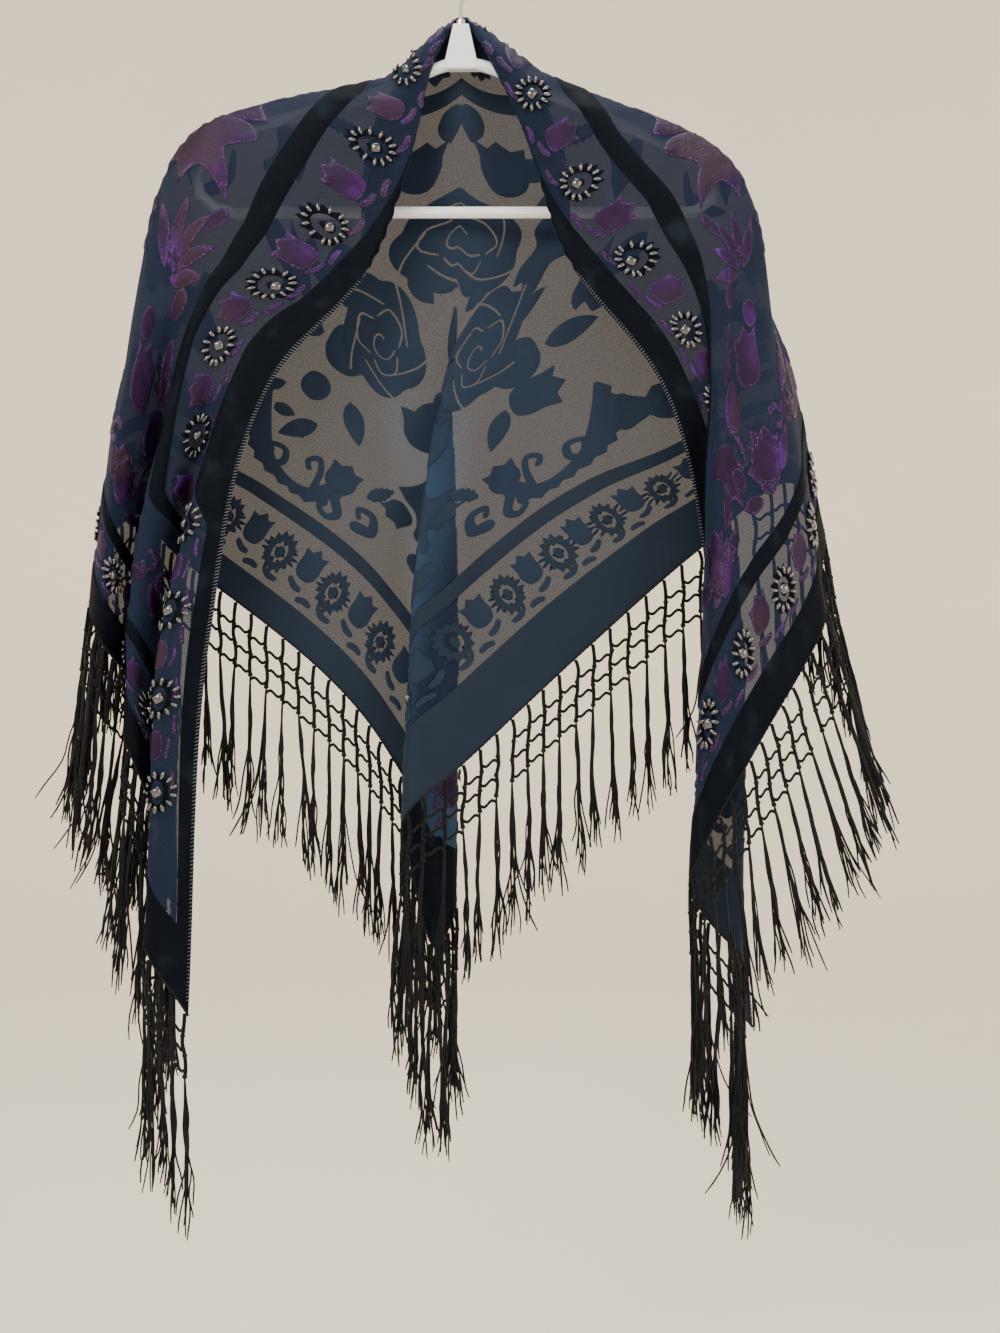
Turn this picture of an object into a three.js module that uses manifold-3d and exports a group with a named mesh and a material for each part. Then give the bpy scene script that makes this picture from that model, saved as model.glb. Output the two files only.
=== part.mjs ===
// Fringed triangular shawl hanging open over a shaped clothes hanger.
// Millimetres, +Z up, front faces -Y, origin where the hook rests on its rail.
import * as THREE from "three";
import { mergeVertices } from "three/addons/utils/BufferGeometryUtils.js";
import Module from "manifold-3d";

const wasm = await Module();
wasm.setup();
const { Manifold, Mesh } = wasm;

// Sizes of the flat cloth and of the fringe
const HALF_LENGTH = 830;
const DEPTH = 730;
const SIDE = Math.hypot(HALF_LENGTH, DEPTH);
const WALL = 1.2;
const SEAM = 0.3;
const YOKE_END = 0.345;
const NET_DROP = 48;
const NET_WALL = 1.2;
const LOCK_PITCH = 16;
const LOCK_DROP = 178;
const LOCK_ROOT = 36;

// Sizes of the hanger
const WIRE = 1.6;
const HOOK_RADIUS = 17.6;
const HUB_TOP = -62;
const HUB_BOTTOM = -97;
const HUB_DEPTH = 5;
const ARM_HIGH = 4.6;
const ARM_DEEP = 4.6;
const BAR_LEVEL = -208;

// Fold lines of the cloth from the neck to the fringed hem.
// across runs from -1 at the left front corner over 0 at the back corner to 1 at the right front corner.
// Each place is x, y, z on that fold line at one of the REACH fractions.
const REACH = [0, 0.055, 0.13, 0.26, 0.42, 0.68, 1];
const NECK = [0, 9, -50];
const YOKE = [
  { fold: "left front edge", across: -1, stem: [-19, -7, -90], neck: [-32, -20, -148], collar: [-64, -30, -250] },
  { fold: "left front turn", across: -0.65, stem: [-25, -3, -76], neck: [-54, -10, -109], collar: [-125, -12, -132] },
  { fold: "left ridge", across: -0.585, stem: [-23, 5, -68], neck: [-55, 0, -99], collar: [-130, 0, -117] },
  { fold: "left back turn", across: -0.52, stem: [-21, 10, -73], neck: [-52, 11, -107], collar: [-120, 12, -130] },
  { fold: "centre", across: 0, stem: [0, 11, -90], neck: [0, 12, -138], collar: [-2, 13, -226] },
  { fold: "right back turn", across: 0.52, stem: [22, 10, -72], neck: [54, 11, -103], collar: [118, 12, -138] },
  { fold: "right ridge", across: 0.585, stem: [24, 5, -66], neck: [58, 0, -94], collar: [128, 0, -124] },
  { fold: "right front turn", across: 0.65, stem: [25, -3, -74], neck: [57, -10, -104], collar: [123, -12, -140] },
  { fold: "right front edge", across: 1, stem: [20, -7, -88], neck: [47, -20, -148], collar: [79, -30, -246] },
];
const FOLDS = [
  {
    fold: "left front edge", across: -1,
    shoulder: [-142, -38, -345], elbow: [-189, -44, -542], hem: [-206, -40, -828],
  },
  {
    fold: "left border pleat", across: -0.935,
    shoulder: [-152, -39, -318], elbow: [-219, -49, -512], hem: [-237, -48, -765],
  },
  {
    fold: "left first valley in", across: -0.89,
    shoulder: [-160, -37, -298], elbow: [-211, -17, -493], hem: [-221, -8, -724],
  },
  {
    fold: "left first valley out", across: -0.868,
    shoulder: [-164, -36, -288], elbow: [-217, -11, -484], hem: [-228, -1, -704],
  },
  {
    fold: "left second leaf", across: -0.835,
    shoulder: [-169, -35, -273], elbow: [-225, -27, -468], hem: [-236, -24, -672],
  },
  {
    fold: "left second pleat in", across: -0.8,
    shoulder: [-175, -33, -257], elbow: [-236, -39, -450], hem: [-249, -37, -632],
  },
  {
    fold: "left second pleat out", across: -0.782,
    shoulder: [-178, -32, -248], elbow: [-241, -36, -442], hem: [-255, -34, -616],
  },
  {
    fold: "left second valley in", across: -0.738,
    shoulder: [-186, -30, -228], elbow: [-229, -6, -424], hem: [-237, 12, -592],
  },
  {
    fold: "left second valley out", across: -0.72,
    shoulder: [-190, -28, -219], elbow: [-235, -1, -417], hem: [-244, 18, -582],
  },
  {
    fold: "left third leaf", across: -0.67,
    shoulder: [-199, -22, -192], elbow: [-246, -20, -396], hem: [-259, -11, -566],
  },
  {
    fold: "left third pleat", across: -0.62,
    shoulder: [-208, -11, -166], elbow: [-256, -34, -364], hem: [-275, -38, -538],
  },
  {
    fold: "left ridge", across: -0.585,
    shoulder: [-214, 0, -151], elbow: [-261, -18, -344], hem: [-285, -20, -512],
  },
  {
    fold: "left back bend", across: -0.55,
    shoulder: [-197, 10, -162], elbow: [-256, 2, -324], hem: [-277, 8, -494],
  },
  {
    fold: "left side", across: -0.51,
    shoulder: [-178, 12, -177], elbow: [-252, 17, -306], hem: [-285, 30, -468],
  },
  {
    fold: "left back turn", across: -0.45,
    shoulder: [-157, 12, -200], elbow: [-228, 23, -304], hem: [-262, 44, -440],
  },
  {
    fold: "left back", across: -0.38,
    shoulder: [-133, 12, -228], elbow: [-192, 16, -345], hem: [-232, 24, -468],
  },
  {
    fold: "left centre pleat root", across: -0.16,
    shoulder: [-55, 13, -305], elbow: [-62, 14, -445], hem: [-65, 18, -618],
  },
  {
    fold: "centre inner fold in", across: -0.05,
    shoulder: [-12, 14, -339], elbow: [-8, 14, -514], hem: [-10, 21, -728],
  },
  {
    fold: "centre inner fold out", across: -0.03,
    shoulder: [-7, 12.5, -344], elbow: [-3, 9, -525], hem: [-4, 14, -748],
  },
  {
    fold: "centre", across: 0,
    shoulder: [-9, 8, -351], elbow: [-15, 1, -540], hem: [-17, 3, -781],
  },
  {
    fold: "centre outer leaf", across: 0.07,
    shoulder: [-14, 1, -346], elbow: [-33, -13, -508], hem: [-41, -16, -707],
  },
  {
    fold: "centre outer fold in", across: 0.088,
    shoulder: [-14, -2, -342], elbow: [-36, -18, -500], hem: [-45, -22, -690],
  },
  {
    fold: "centre outer fold out", across: 0.105,
    shoulder: [-12, -3, -337], elbow: [-32, -21, -490], hem: [-40, -27, -674],
  },
  {
    fold: "right centre pleat root", across: 0.135,
    shoulder: [0, -1, -325], elbow: [-10, -13, -470], hem: [-10, -16, -648],
  },
  {
    fold: "right back inner", across: 0.25,
    shoulder: [50, 12, -285], elbow: [62, 14, -410], hem: [91, 18, -555],
  },
  {
    fold: "right back outer", across: 0.348,
    shoulder: [98, 12, -248], elbow: [141, 15, -365], hem: [186, 22, -471],
  },
  {
    fold: "right back turn", across: 0.43,
    shoulder: [140, 12, -222], elbow: [212, 22, -306], hem: [264, 44, -414],
  },
  {
    fold: "right side", across: 0.49,
    shoulder: [166, 12, -202], elbow: [246, 18, -292], hem: [287, 26, -456],
  },
  {
    fold: "right back bend", across: 0.54,
    shoulder: [190, 10, -182], elbow: [248, 2, -308], hem: [280, -2, -498],
  },
  {
    fold: "right ridge", across: 0.585,
    shoulder: [209, 0, -166], elbow: [246, -18, -332], hem: [279, -26, -528],
  },
  {
    fold: "right outer front", across: 0.62,
    shoulder: [204, -11, -181], elbow: [238, -30, -354], hem: [262, -38, -560],
  },
  {
    fold: "right front", across: 0.68,
    shoulder: [196, -22, -207], elbow: [214, -39, -384], hem: [228, -48, -616],
  },
  {
    fold: "right front fold in", across: 0.772,
    shoulder: [184, -31, -246], elbow: [190, -45, -438], hem: [181, -48, -706],
  },
  {
    fold: "right front fold out", across: 0.79,
    shoulder: [179, -31, -254], elbow: [186, -39, -452], hem: [175, -41, -724],
  },
  {
    fold: "right behind, first wave", across: 0.84,
    shoulder: [174, -31.5, -276], elbow: [196, -28, -472], hem: [191, -16, -758],
  },
  {
    fold: "right behind, second wave", across: 0.885,
    shoulder: [168, -31.5, -296], elbow: [213, -24, -494], hem: [214, -26, -784],
  },
  {
    fold: "right behind, third wave", across: 0.93,
    shoulder: [162, -30, -315], elbow: [209, -5, -516], hem: [219, -5, -808],
  },
  {
    fold: "right behind, fourth wave", across: 0.965,
    shoulder: [157, -30, -330], elbow: [204, 3, -531], hem: [215, 10, -828],
  },
  {
    fold: "right front edge", across: 1,
    shoulder: [152, -31, -344], elbow: [200, 10, -546], hem: [230, 19, -848],
  },
];

// How far the fringe swings sideways (x) and in depth (y) over its whole drop
const SWING = [
  { across: -1, aside: 0, deep: 0 },
  { across: -0.9, aside: -4, deep: 0 },
  { across: -0.6, aside: -22, deep: 0 },
  { across: -0.45, aside: -12, deep: 6 },
  { across: -0.2, aside: 0, deep: 4 },
  { across: 0.2, aside: 0, deep: 4 },
  { across: 0.45, aside: 18, deep: 6 },
  { across: 0.6, aside: 60, deep: 0 },
  { across: 0.75, aside: 12, deep: 0 },
  { across: 1, aside: 0, deep: 0 },
];

// Pieces of the cloth below the yoke, and the fringe that each hem carries
const PANELS = [
  { name: "shawl_left_front", from: -1, to: -0.76 },
  { name: "shawl_left_side", from: -0.76, to: -0.415 },
  { name: "shawl_back_left", from: -0.415, to: -0.1 },
  { name: "shawl_back_centre", from: -0.1, to: 0.19 },
  { name: "shawl_back_right", from: 0.19, to: 0.39 },
  { name: "shawl_right_side", from: 0.39, to: 0.63 },
  { name: "shawl_right_front", from: 0.63, to: 1 },
];
const FRINGES = [
  { name: "fringe_left_front", from: -1, to: -0.76 },
  { name: "fringe_left_side", from: -0.76, to: -0.415 },
  { name: "fringe_back_left", from: -0.415, to: -0.1 },
  { name: "fringe_back_centre", from: -0.1, to: 0.19 },
  { name: "fringe_back_right", from: 0.19, to: 0.39 },
  { name: "fringe_right_side", from: 0.39, to: 0.63 },
  { name: "fringe_right_front", from: 0.63, to: 1 },
];

// Smooth curve through uneven steps
function smooth(xs, ys, x) {
  const n = xs.length;
  const held = Math.min(Math.max(x, xs[0]), xs[n - 1]);
  let i = 0;
  while (i < n - 2 && held > xs[i + 1]) {
    i += 1;
  }
  const slope = (k) => (ys[k + 1] - ys[k]) / (xs[k + 1] - xs[k]);
  const lean = (k) => {
    if (k === 0) {
      return slope(0);
    }
    if (k === n - 1) {
      return slope(n - 2);
    }
    const before = xs[k] - xs[k - 1];
    const after = xs[k + 1] - xs[k];
    return (slope(k - 1) * after + slope(k) * before) / (before + after);
  };
  const h = xs[i + 1] - xs[i];
  const u = (held - xs[i]) / h;
  const a = 2 * u ** 3 - 3 * u ** 2 + 1;
  const b = u ** 3 - 2 * u ** 2 + u;
  const c = -2 * u ** 3 + 3 * u ** 2;
  const d = u ** 3 - u ** 2;
  return a * ys[i] + b * h * lean(i) + c * ys[i + 1] + d * h * lean(i + 1);
}

function station(table, key, across) {
  const steps = table.map((row) => row.across);
  return [0, 1, 2].map((axis) => smooth(steps, table.map((row) => row[key][axis]), across));
}

// The middle surface of the draped cloth
const lineStore = new Map();
function foldLine(across) {
  if (!lineStore.has(across)) {
    lineStore.set(across, [
      NECK,
      station(YOKE, "stem", across),
      station(YOKE, "neck", across),
      station(YOKE, "collar", across),
      station(FOLDS, "shoulder", across),
      station(FOLDS, "elbow", across),
      station(FOLDS, "hem", across),
    ]);
  }
  return lineStore.get(across);
}

function drape(reach, across) {
  const line = foldLine(across);
  const at = [0, 1, 2].map((axis) => smooth(REACH, line.map((place) => place[axis]), reach));
  return new THREE.Vector3(...at);
}

function drapeNormal(reach, across) {
  const r = Math.max(reach, 0.02);
  const dr = 0.004;
  const dw = 0.003;
  const down = drape(Math.min(r + dr, 1), across).sub(drape(r - dr, across));
  const w0 = Math.max(across - dw, -1);
  const w1 = Math.min(across + dw, 1);
  const along = drape(r, w1).sub(drape(r, w0));
  return down.cross(along).normalize();
}

// A closed wall round a grid of middle points
function wallFromGrid(grid, normals, thick) {
  const rows = grid.length;
  const cols = grid[0].length;
  const front = [];
  const back = [];
  for (let j = 0; j < rows; j += 1) {
    for (let i = 0; i < cols; i += 1) {
      front.push(grid[j][i].clone().addScaledVector(normals[j][i], thick / 2));
      back.push(grid[j][i].clone().addScaledVector(normals[j][i], -thick / 2));
    }
  }
  const points = [...front, ...back];
  const shift = rows * cols;
  const faces = [];
  const quad = (a, b, c, d) => {
    faces.push([a, b, c], [a, c, d]);
  };
  const id = (j, i) => j * cols + i;
  for (let j = 0; j < rows - 1; j += 1) {
    for (let i = 0; i < cols - 1; i += 1) {
      quad(id(j, i), id(j + 1, i), id(j + 1, i + 1), id(j, i + 1));
      quad(shift + id(j, i), shift + id(j, i + 1), shift + id(j + 1, i + 1), shift + id(j + 1, i));
    }
  }
  for (let i = 0; i < cols - 1; i += 1) {
    quad(id(0, i), id(0, i + 1), shift + id(0, i + 1), shift + id(0, i));
    quad(id(rows - 1, i), shift + id(rows - 1, i), shift + id(rows - 1, i + 1), id(rows - 1, i + 1));
  }
  for (let j = 0; j < rows - 1; j += 1) {
    quad(id(j, 0), shift + id(j, 0), shift + id(j + 1, 0), id(j + 1, 0));
    quad(id(j, cols - 1), id(j + 1, cols - 1), shift + id(j + 1, cols - 1), shift + id(j, cols - 1));
  }
  return closedGeometry(points, faces);
}

// Welds points, drops flat faces and turns the body so that it faces out
function closedGeometry(points, faces) {
  const flat = new Float32Array(points.length * 3);
  points.forEach((p, i) => flat.set([p.x, p.y, p.z], i * 3));
  const raw = new THREE.BufferGeometry();
  raw.setAttribute("position", new THREE.BufferAttribute(flat, 3));
  raw.setIndex(faces.flat());
  const welded = mergeVertices(raw, 1e-3);
  const index = welded.index.array;
  const kept = [];
  for (let k = 0; k < index.length; k += 3) {
    const [a, b, c] = [index[k], index[k + 1], index[k + 2]];
    if (a !== b && b !== c && a !== c) {
      kept.push([a, b, c]);
    }
  }
  const place = welded.attributes.position;
  const corner = (i) => new THREE.Vector3().fromBufferAttribute(place, i);
  const volume = kept.reduce((sum, [a, b, c]) => sum + corner(a).dot(corner(b).cross(corner(c))), 0);
  const turned = volume < 0 ? kept.map(([a, b, c]) => [a, c, b]) : kept;
  welded.setIndex(turned.flat());
  return welded;
}

function toManifold(geometry) {
  return new Manifold(new Mesh({
    numProp: 3,
    vertProperties: new Float32Array(geometry.attributes.position.array),
    triVerts: new Uint32Array(geometry.index.array),
  }));
}

function fromManifold(body) {
  const mesh = body.getMesh();
  const geometry = new THREE.BufferGeometry();
  const count = mesh.vertProperties.length / mesh.numProp;
  const flat = new Float32Array(count * 3);
  for (let i = 0; i < count; i += 1) {
    for (let axis = 0; axis < 3; axis += 1) {
      flat[i * 3 + axis] = mesh.vertProperties[i * mesh.numProp + axis];
    }
  }
  geometry.setAttribute("position", new THREE.BufferAttribute(flat, 3));
  geometry.setIndex(Array.from(mesh.triVerts));
  return geometry;
}

// Columns across the cloth: the fold lines and even steps between them
function columns(from, to, between) {
  const found = [from];
  for (let i = 0; i < FOLDS.length - 1; i += 1) {
    const a = FOLDS[i].across;
    const b = FOLDS[i + 1].across;
    const steps = Math.max(1, Math.round(between * Math.min(1, (b - a) / 0.05)));
    for (let k = 0; k <= steps; k += 1) {
      const w = a + ((b - a) * k) / steps;
      const last = found[found.length - 1];
      if (w > last + 0.006 && w < to - 0.006) {
        found.push(w);
      }
    }
  }
  found.push(to);
  return found;
}

function panelWall({ from, to }, rows, between) {
  const ws = columns(from, to, between);
  const grid = [];
  const normals = [];
  for (const r of rows) {
    const line = [];
    const lean = [];
    const part = SEAM / 2 / (SIDE * Math.max(r, 0.05));
    ws.forEach((w, i) => {
      let at = w;
      if (i === 0 && from > -1) {
        at = w + part;
      }
      if (i === ws.length - 1 && to < 1) {
        at = w - part;
      }
      line.push(drape(r, at));
      lean.push(drapeNormal(r, at));
    });
    grid.push(line);
    normals.push(lean);
  }
  return wallFromGrid(grid, normals, WALL);
}

const PANEL_ROWS = [
  YOKE_END + SEAM / 700, 0.39, 0.44, 0.49, 0.54, 0.6, 0.66, 0.72, 0.79, 0.86, 0.93, 1,
];
const YOKE_ROWS = [0.016, 0.035, 0.065, 0.11, 0.16, 0.21, 0.26, 0.305, YOKE_END];

// Fringe: a knotted net below the hem and hanging locks fused into it
function swing(across) {
  const steps = SWING.map((row) => row.across);
  return [
    smooth(steps, SWING.map((row) => row.aside), across),
    smooth(steps, SWING.map((row) => row.deep), across),
  ];
}

function fringeLine(across, drop) {
  const hem = drape(1, across);
  const outward = hem.clone().sub(drape(0.985, across)).normalize();
  const along = drape(1, Math.min(across + 0.004, 1)).sub(drape(1, Math.max(across - 0.004, -1))).normalize();
  outward.addScaledVector(along, -outward.dot(along)).normalize();
  const [aside, deep] = swing(across);
  const fall = new THREE.Vector3(aside / LOCK_DROP, deep / LOCK_DROP, -1).normalize();
  const blend = Math.min(1, drop / 30);
  const corner = Math.max(0, 1 - Math.abs(across) / 0.03);
  outward.lerp(hem.clone().sub(drape(0.985, across)).normalize(), corner).normalize();
  const start = hem.clone().addScaledVector(outward, SEAM * (2.2 + 4 * corner));
  return start.addScaledVector(outward, drop * 0.25 * (1 - blend)).addScaledVector(fall, drop);
}

function netWall({ from, to }) {
  const ws = columns(from, to, 2);
  const half = SEAM / 2 / SIDE;
  const drops = [0, 16, 32, NET_DROP];
  const grid = [];
  const normals = [];
  for (const d of drops) {
    const line = [];
    const lean = [];
    ws.forEach((w, i) => {
      let at = w;
      if (i === 0 && from > -1) {
        at = w + half;
      }
      if (i === ws.length - 1 && to < 1) {
        at = w - half;
      }
      line.push(fringeLine(at, d));
      const w0 = Math.max(at - 0.004, -1);
      const w1 = Math.min(at + 0.004, 1);
      const along = fringeLine(w1, d).sub(fringeLine(w0, d));
      const down = fringeLine(at, Math.min(d + 1, NET_DROP)).sub(fringeLine(at, Math.max(d - 1, 0)));
      lean.push(down.cross(along).normalize());
    });
    grid.push(line);
    normals.push(lean);
  }
  return wallFromGrid(grid, normals, NET_WALL);
}

function netPlace(ws, across, drop) {
  let i = 0;
  while (i < ws.length - 2 && across > ws[i + 1]) {
    i += 1;
  }
  const share = (across - ws[i]) / (ws[i + 1] - ws[i]);
  return fringeLine(ws[i], drop).lerp(fringeLine(ws[i + 1], drop), share);
}

function lock(ws, across, reach) {
  const sides = 4;
  const stops = [
    { drop: LOCK_ROOT, wide: 2.0 },
    { drop: LOCK_ROOT + 30, wide: 3.0 },
    { drop: reach, wide: 2.7 },
  ];
  const points = [];
  for (const stop of stops) {
    const centre = netPlace(ws, across, stop.drop);
    for (let k = 0; k < sides; k += 1) {
      const turn = (k / sides) * Math.PI * 2 + Math.PI / 4;
      points.push(centre.clone().add(new THREE.Vector3(
        Math.cos(turn) * stop.wide,
        Math.sin(turn) * stop.wide,
        0,
      )));
    }
  }
  const faces = [];
  for (let j = 0; j < stops.length - 1; j += 1) {
    for (let k = 0; k < sides; k += 1) {
      const a = j * sides + k;
      const b = j * sides + ((k + 1) % sides);
      faces.push([a, b, b + sides], [a, b + sides, a + sides]);
    }
  }
  const end = (stops.length - 1) * sides;
  faces.push([0, 2, 1], [0, 3, 2], [end, end + 1, end + 2], [end, end + 2, end + 3]);
  return closedGeometry(points, faces);
}

function fringeBody(piece) {
  const first = Math.ceil((piece.from + 1) * (SIDE / LOCK_PITCH) + 0.35);
  const last = Math.floor((piece.to + 1) * (SIDE / LOCK_PITCH) - 0.35);
  const ws = columns(piece.from, piece.to, 2);
  const bodies = [toManifold(netWall(piece))];
  for (let k = first; k <= last; k += 1) {
    const across = -1 + (k * LOCK_PITCH) / SIDE;
    const uneven = 5 * Math.sin(k * 2.4) + 4 * Math.sin(k * 0.9);
    bodies.push(toManifold(lock(ws, across, LOCK_DROP + uneven)));
  }
  return fromManifold(Manifold.union(bodies));
}

// Hanger parts
function tube(path, radius, sides, steps) {
  const curve = new THREE.CatmullRomCurve3(path, false, "centripetal");
  const points = [];
  for (let j = 0; j <= steps; j += 1) {
    const at = curve.getPointAt(j / steps);
    const along = curve.getTangentAt(j / steps);
    const across = new THREE.Vector3(0, 1, 0);
    const up = new THREE.Vector3().crossVectors(along, across).normalize();
    for (let k = 0; k < sides; k += 1) {
      const turn = (k / sides) * Math.PI * 2 + Math.PI / sides;
      points.push(at.clone().addScaledVector(across, Math.cos(turn) * radius[0])
        .addScaledVector(up, Math.sin(turn) * radius[1]));
    }
  }
  const faces = [];
  for (let j = 0; j < steps; j += 1) {
    for (let k = 0; k < sides; k += 1) {
      const a = j * sides + k;
      const b = j * sides + ((k + 1) % sides);
      faces.push([a, b, b + sides], [a, b + sides, a + sides]);
    }
  }
  for (let k = 1; k < sides - 1; k += 1) {
    faces.push([0, k + 1, k]);
    faces.push([steps * sides, steps * sides + k, steps * sides + k + 1]);
  }
  return closedGeometry(points, faces);
}

function flatPath(pairs) {
  return pairs.map(([x, z]) => new THREE.Vector3(x, 0, z));
}

function hangerFrame() {
  const outline = [
    [-6, HUB_TOP], [6, HUB_TOP], [14, HUB_BOTTOM], [-14, HUB_BOTTOM],
  ].map(([x, z]) => new THREE.Vector2(x, z));
  const hub = new THREE.ExtrudeGeometry(new THREE.Shape(outline), {
    depth: HUB_DEPTH * 2 - 2,
    bevelEnabled: true,
    bevelThickness: 1,
    bevelSize: 1,
    bevelOffset: -1,
    bevelSegments: 1,
  });
  hub.deleteAttribute("normal");
  hub.deleteAttribute("uv");
  hub.translate(0, 0, 1 - HUB_DEPTH);
  hub.rotateX(Math.PI / 2);
  const hubBody = toManifold(closedGeometry(
    Array.from({ length: hub.attributes.position.count }, (_, i) => (
      new THREE.Vector3().fromBufferAttribute(hub.attributes.position, i))),
    Array.from({ length: hub.attributes.position.count / 3 }, (_, i) => [3 * i, 3 * i + 1, 3 * i + 2]),
  ));
  const left = [
    [-2, -90], [-28, -99], [-60, -113], [-120, -130], [-165, -143], [-190, -153], [-204, -168],
    [-207, -184], [-200, -199], [-184, BAR_LEVEL], [-150, BAR_LEVEL], [-70, BAR_LEVEL], [2, BAR_LEVEL],
  ];
  const right = [
    [2, -90], [28, -97], [60, -111], [120, -137], [162, -156], [184, -167], [197, -178],
    [199, -188], [193, -201], [180, BAR_LEVEL], [150, BAR_LEVEL], [70, BAR_LEVEL], [-2, BAR_LEVEL],
  ];
  const size = [ARM_DEEP, ARM_HIGH];
  const leftBody = toManifold(tube(flatPath(left), size, 8, 26));
  const rightBody = toManifold(tube(flatPath(right), size, 8, 26));
  return fromManifold(Manifold.union([hubBody, leftBody, rightBody]));
}

function hangerHook() {
  const path = [[0, HUB_TOP + SEAM], [0, -54], [0, -46], [3, -39], [9, -32]];
  for (let turn = -42; turn <= 205; turn += 19) {
    const angle = (turn * Math.PI) / 180;
    path.push([HOOK_RADIUS * Math.cos(angle), -HOOK_RADIUS + WIRE + HOOK_RADIUS * Math.sin(angle)]);
  }
  const wire = toManifold(tube(flatPath(path), [WIRE, WIRE], 8, 34));
  const collar = new THREE.CylinderGeometry(3.2, 3.6, 4, 14);
  collar.rotateX(Math.PI / 2);
  collar.translate(0, 0, HUB_TOP + SEAM + 2);
  collar.deleteAttribute("normal");
  collar.deleteAttribute("uv");
  const ring = toManifold(mergeVertices(collar, 1e-3));
  return fromManifold(Manifold.union([wire, ring]));
}

// Assembly
const plastic = { color: 0xe9ecef, roughness: 0.4, metalness: 0 };
const steel = { color: 0xb9bcc0, roughness: 0.3, metalness: 1 };
const velvet = { color: 0x3a3347, roughness: 0.75, metalness: 0 };
const gauze = { color: 0x4b5566, roughness: 0.8, metalness: 0 };
const yarn = { color: 0x101114, roughness: 0.7, metalness: 0 };

const root = new THREE.Group();
function add(name, geometry, finish) {
  const mesh = new THREE.Mesh(geometry, new THREE.MeshStandardMaterial(finish));
  mesh.name = name;
  root.add(mesh);
}

add("hanger_hook", hangerHook(), steel);
add("hanger_frame", hangerFrame(), plastic);
add("shawl_yoke", panelWall({ from: -1, to: 1 }, YOKE_ROWS, 2), velvet);
for (const panel of PANELS) {
  add(panel.name, panelWall(panel, PANEL_ROWS, 2), panel.name.includes("back") ? gauze : velvet);
}
for (const fringe of FRINGES) {
  add(fringe.name, fringeBody(fringe), yarn);
}

export default root;
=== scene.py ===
# A triangular burnt-out velvet shawl with a knotted fringe, hung open over a shaped clothes hanger.
import math

import bpy
import numpy as np
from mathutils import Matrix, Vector
from mathutils.geometry import delaunay_2d_cdt
from mathutils.kdtree import KDTree


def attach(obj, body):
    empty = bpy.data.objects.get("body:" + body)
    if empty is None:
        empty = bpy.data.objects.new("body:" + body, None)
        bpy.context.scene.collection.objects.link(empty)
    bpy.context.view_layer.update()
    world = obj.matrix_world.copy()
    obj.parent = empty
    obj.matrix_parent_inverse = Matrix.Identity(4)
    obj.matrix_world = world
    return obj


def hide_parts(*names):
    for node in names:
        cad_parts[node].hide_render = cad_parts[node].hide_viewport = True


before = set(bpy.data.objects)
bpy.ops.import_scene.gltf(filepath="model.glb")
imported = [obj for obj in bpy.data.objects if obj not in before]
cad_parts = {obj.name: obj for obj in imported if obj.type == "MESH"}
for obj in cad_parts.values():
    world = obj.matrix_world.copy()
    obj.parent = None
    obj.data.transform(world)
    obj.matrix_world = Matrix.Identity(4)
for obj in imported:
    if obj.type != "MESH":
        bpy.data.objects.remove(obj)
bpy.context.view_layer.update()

# Sizes in millimetres, the same as those of the solids. The cloth is a triangle: s runs along its
# long edge from the middle, t from that edge to the corner at the bottom of the back.
HALF_LENGTH = 830.0
DEPTH = 730.0
SIDE = math.hypot(HALF_LENGTH, DEPTH)
SEAM = 0.3
NET_DROP = 48.0
LOCK_PITCH = 16.0
LOCK_DROP = 178.0
YARNS = 10

# Shares of the way down at which the fold lines have their points, and the point they all start from
REACH = [0, 0.055, 0.13, 0.26, 0.42, 0.68, 1]
NECK = (0, 9, -50)

# Fold lines over the hanger: name, place across (-1 to 1), and three points at the next shares, in mm
YOKE = [
    ("left front edge", -1, (-19, -7, -90), (-32, -20, -148), (-64, -30, -250)),
    ("left front turn", -0.65, (-25, -3, -76), (-54, -10, -109), (-125, -12, -132)),
    ("left ridge", -0.585, (-23, 5, -68), (-55, 0, -99), (-130, 0, -117)),
    ("left back turn", -0.52, (-21, 10, -73), (-52, 11, -107), (-120, 12, -130)),
    ("centre", 0, (0, 11, -90), (0, 12, -138), (-2, 13, -226)),
    ("right back turn", 0.52, (22, 10, -72), (54, 11, -103), (118, 12, -138)),
    ("right ridge", 0.585, (24, 5, -66), (58, 0, -94), (128, 0, -124)),
    ("right front turn", 0.65, (25, -3, -74), (57, -10, -104), (123, -12, -140)),
    ("right front edge", 1, (20, -7, -88), (47, -20, -148), (79, -30, -246)),
]
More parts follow.
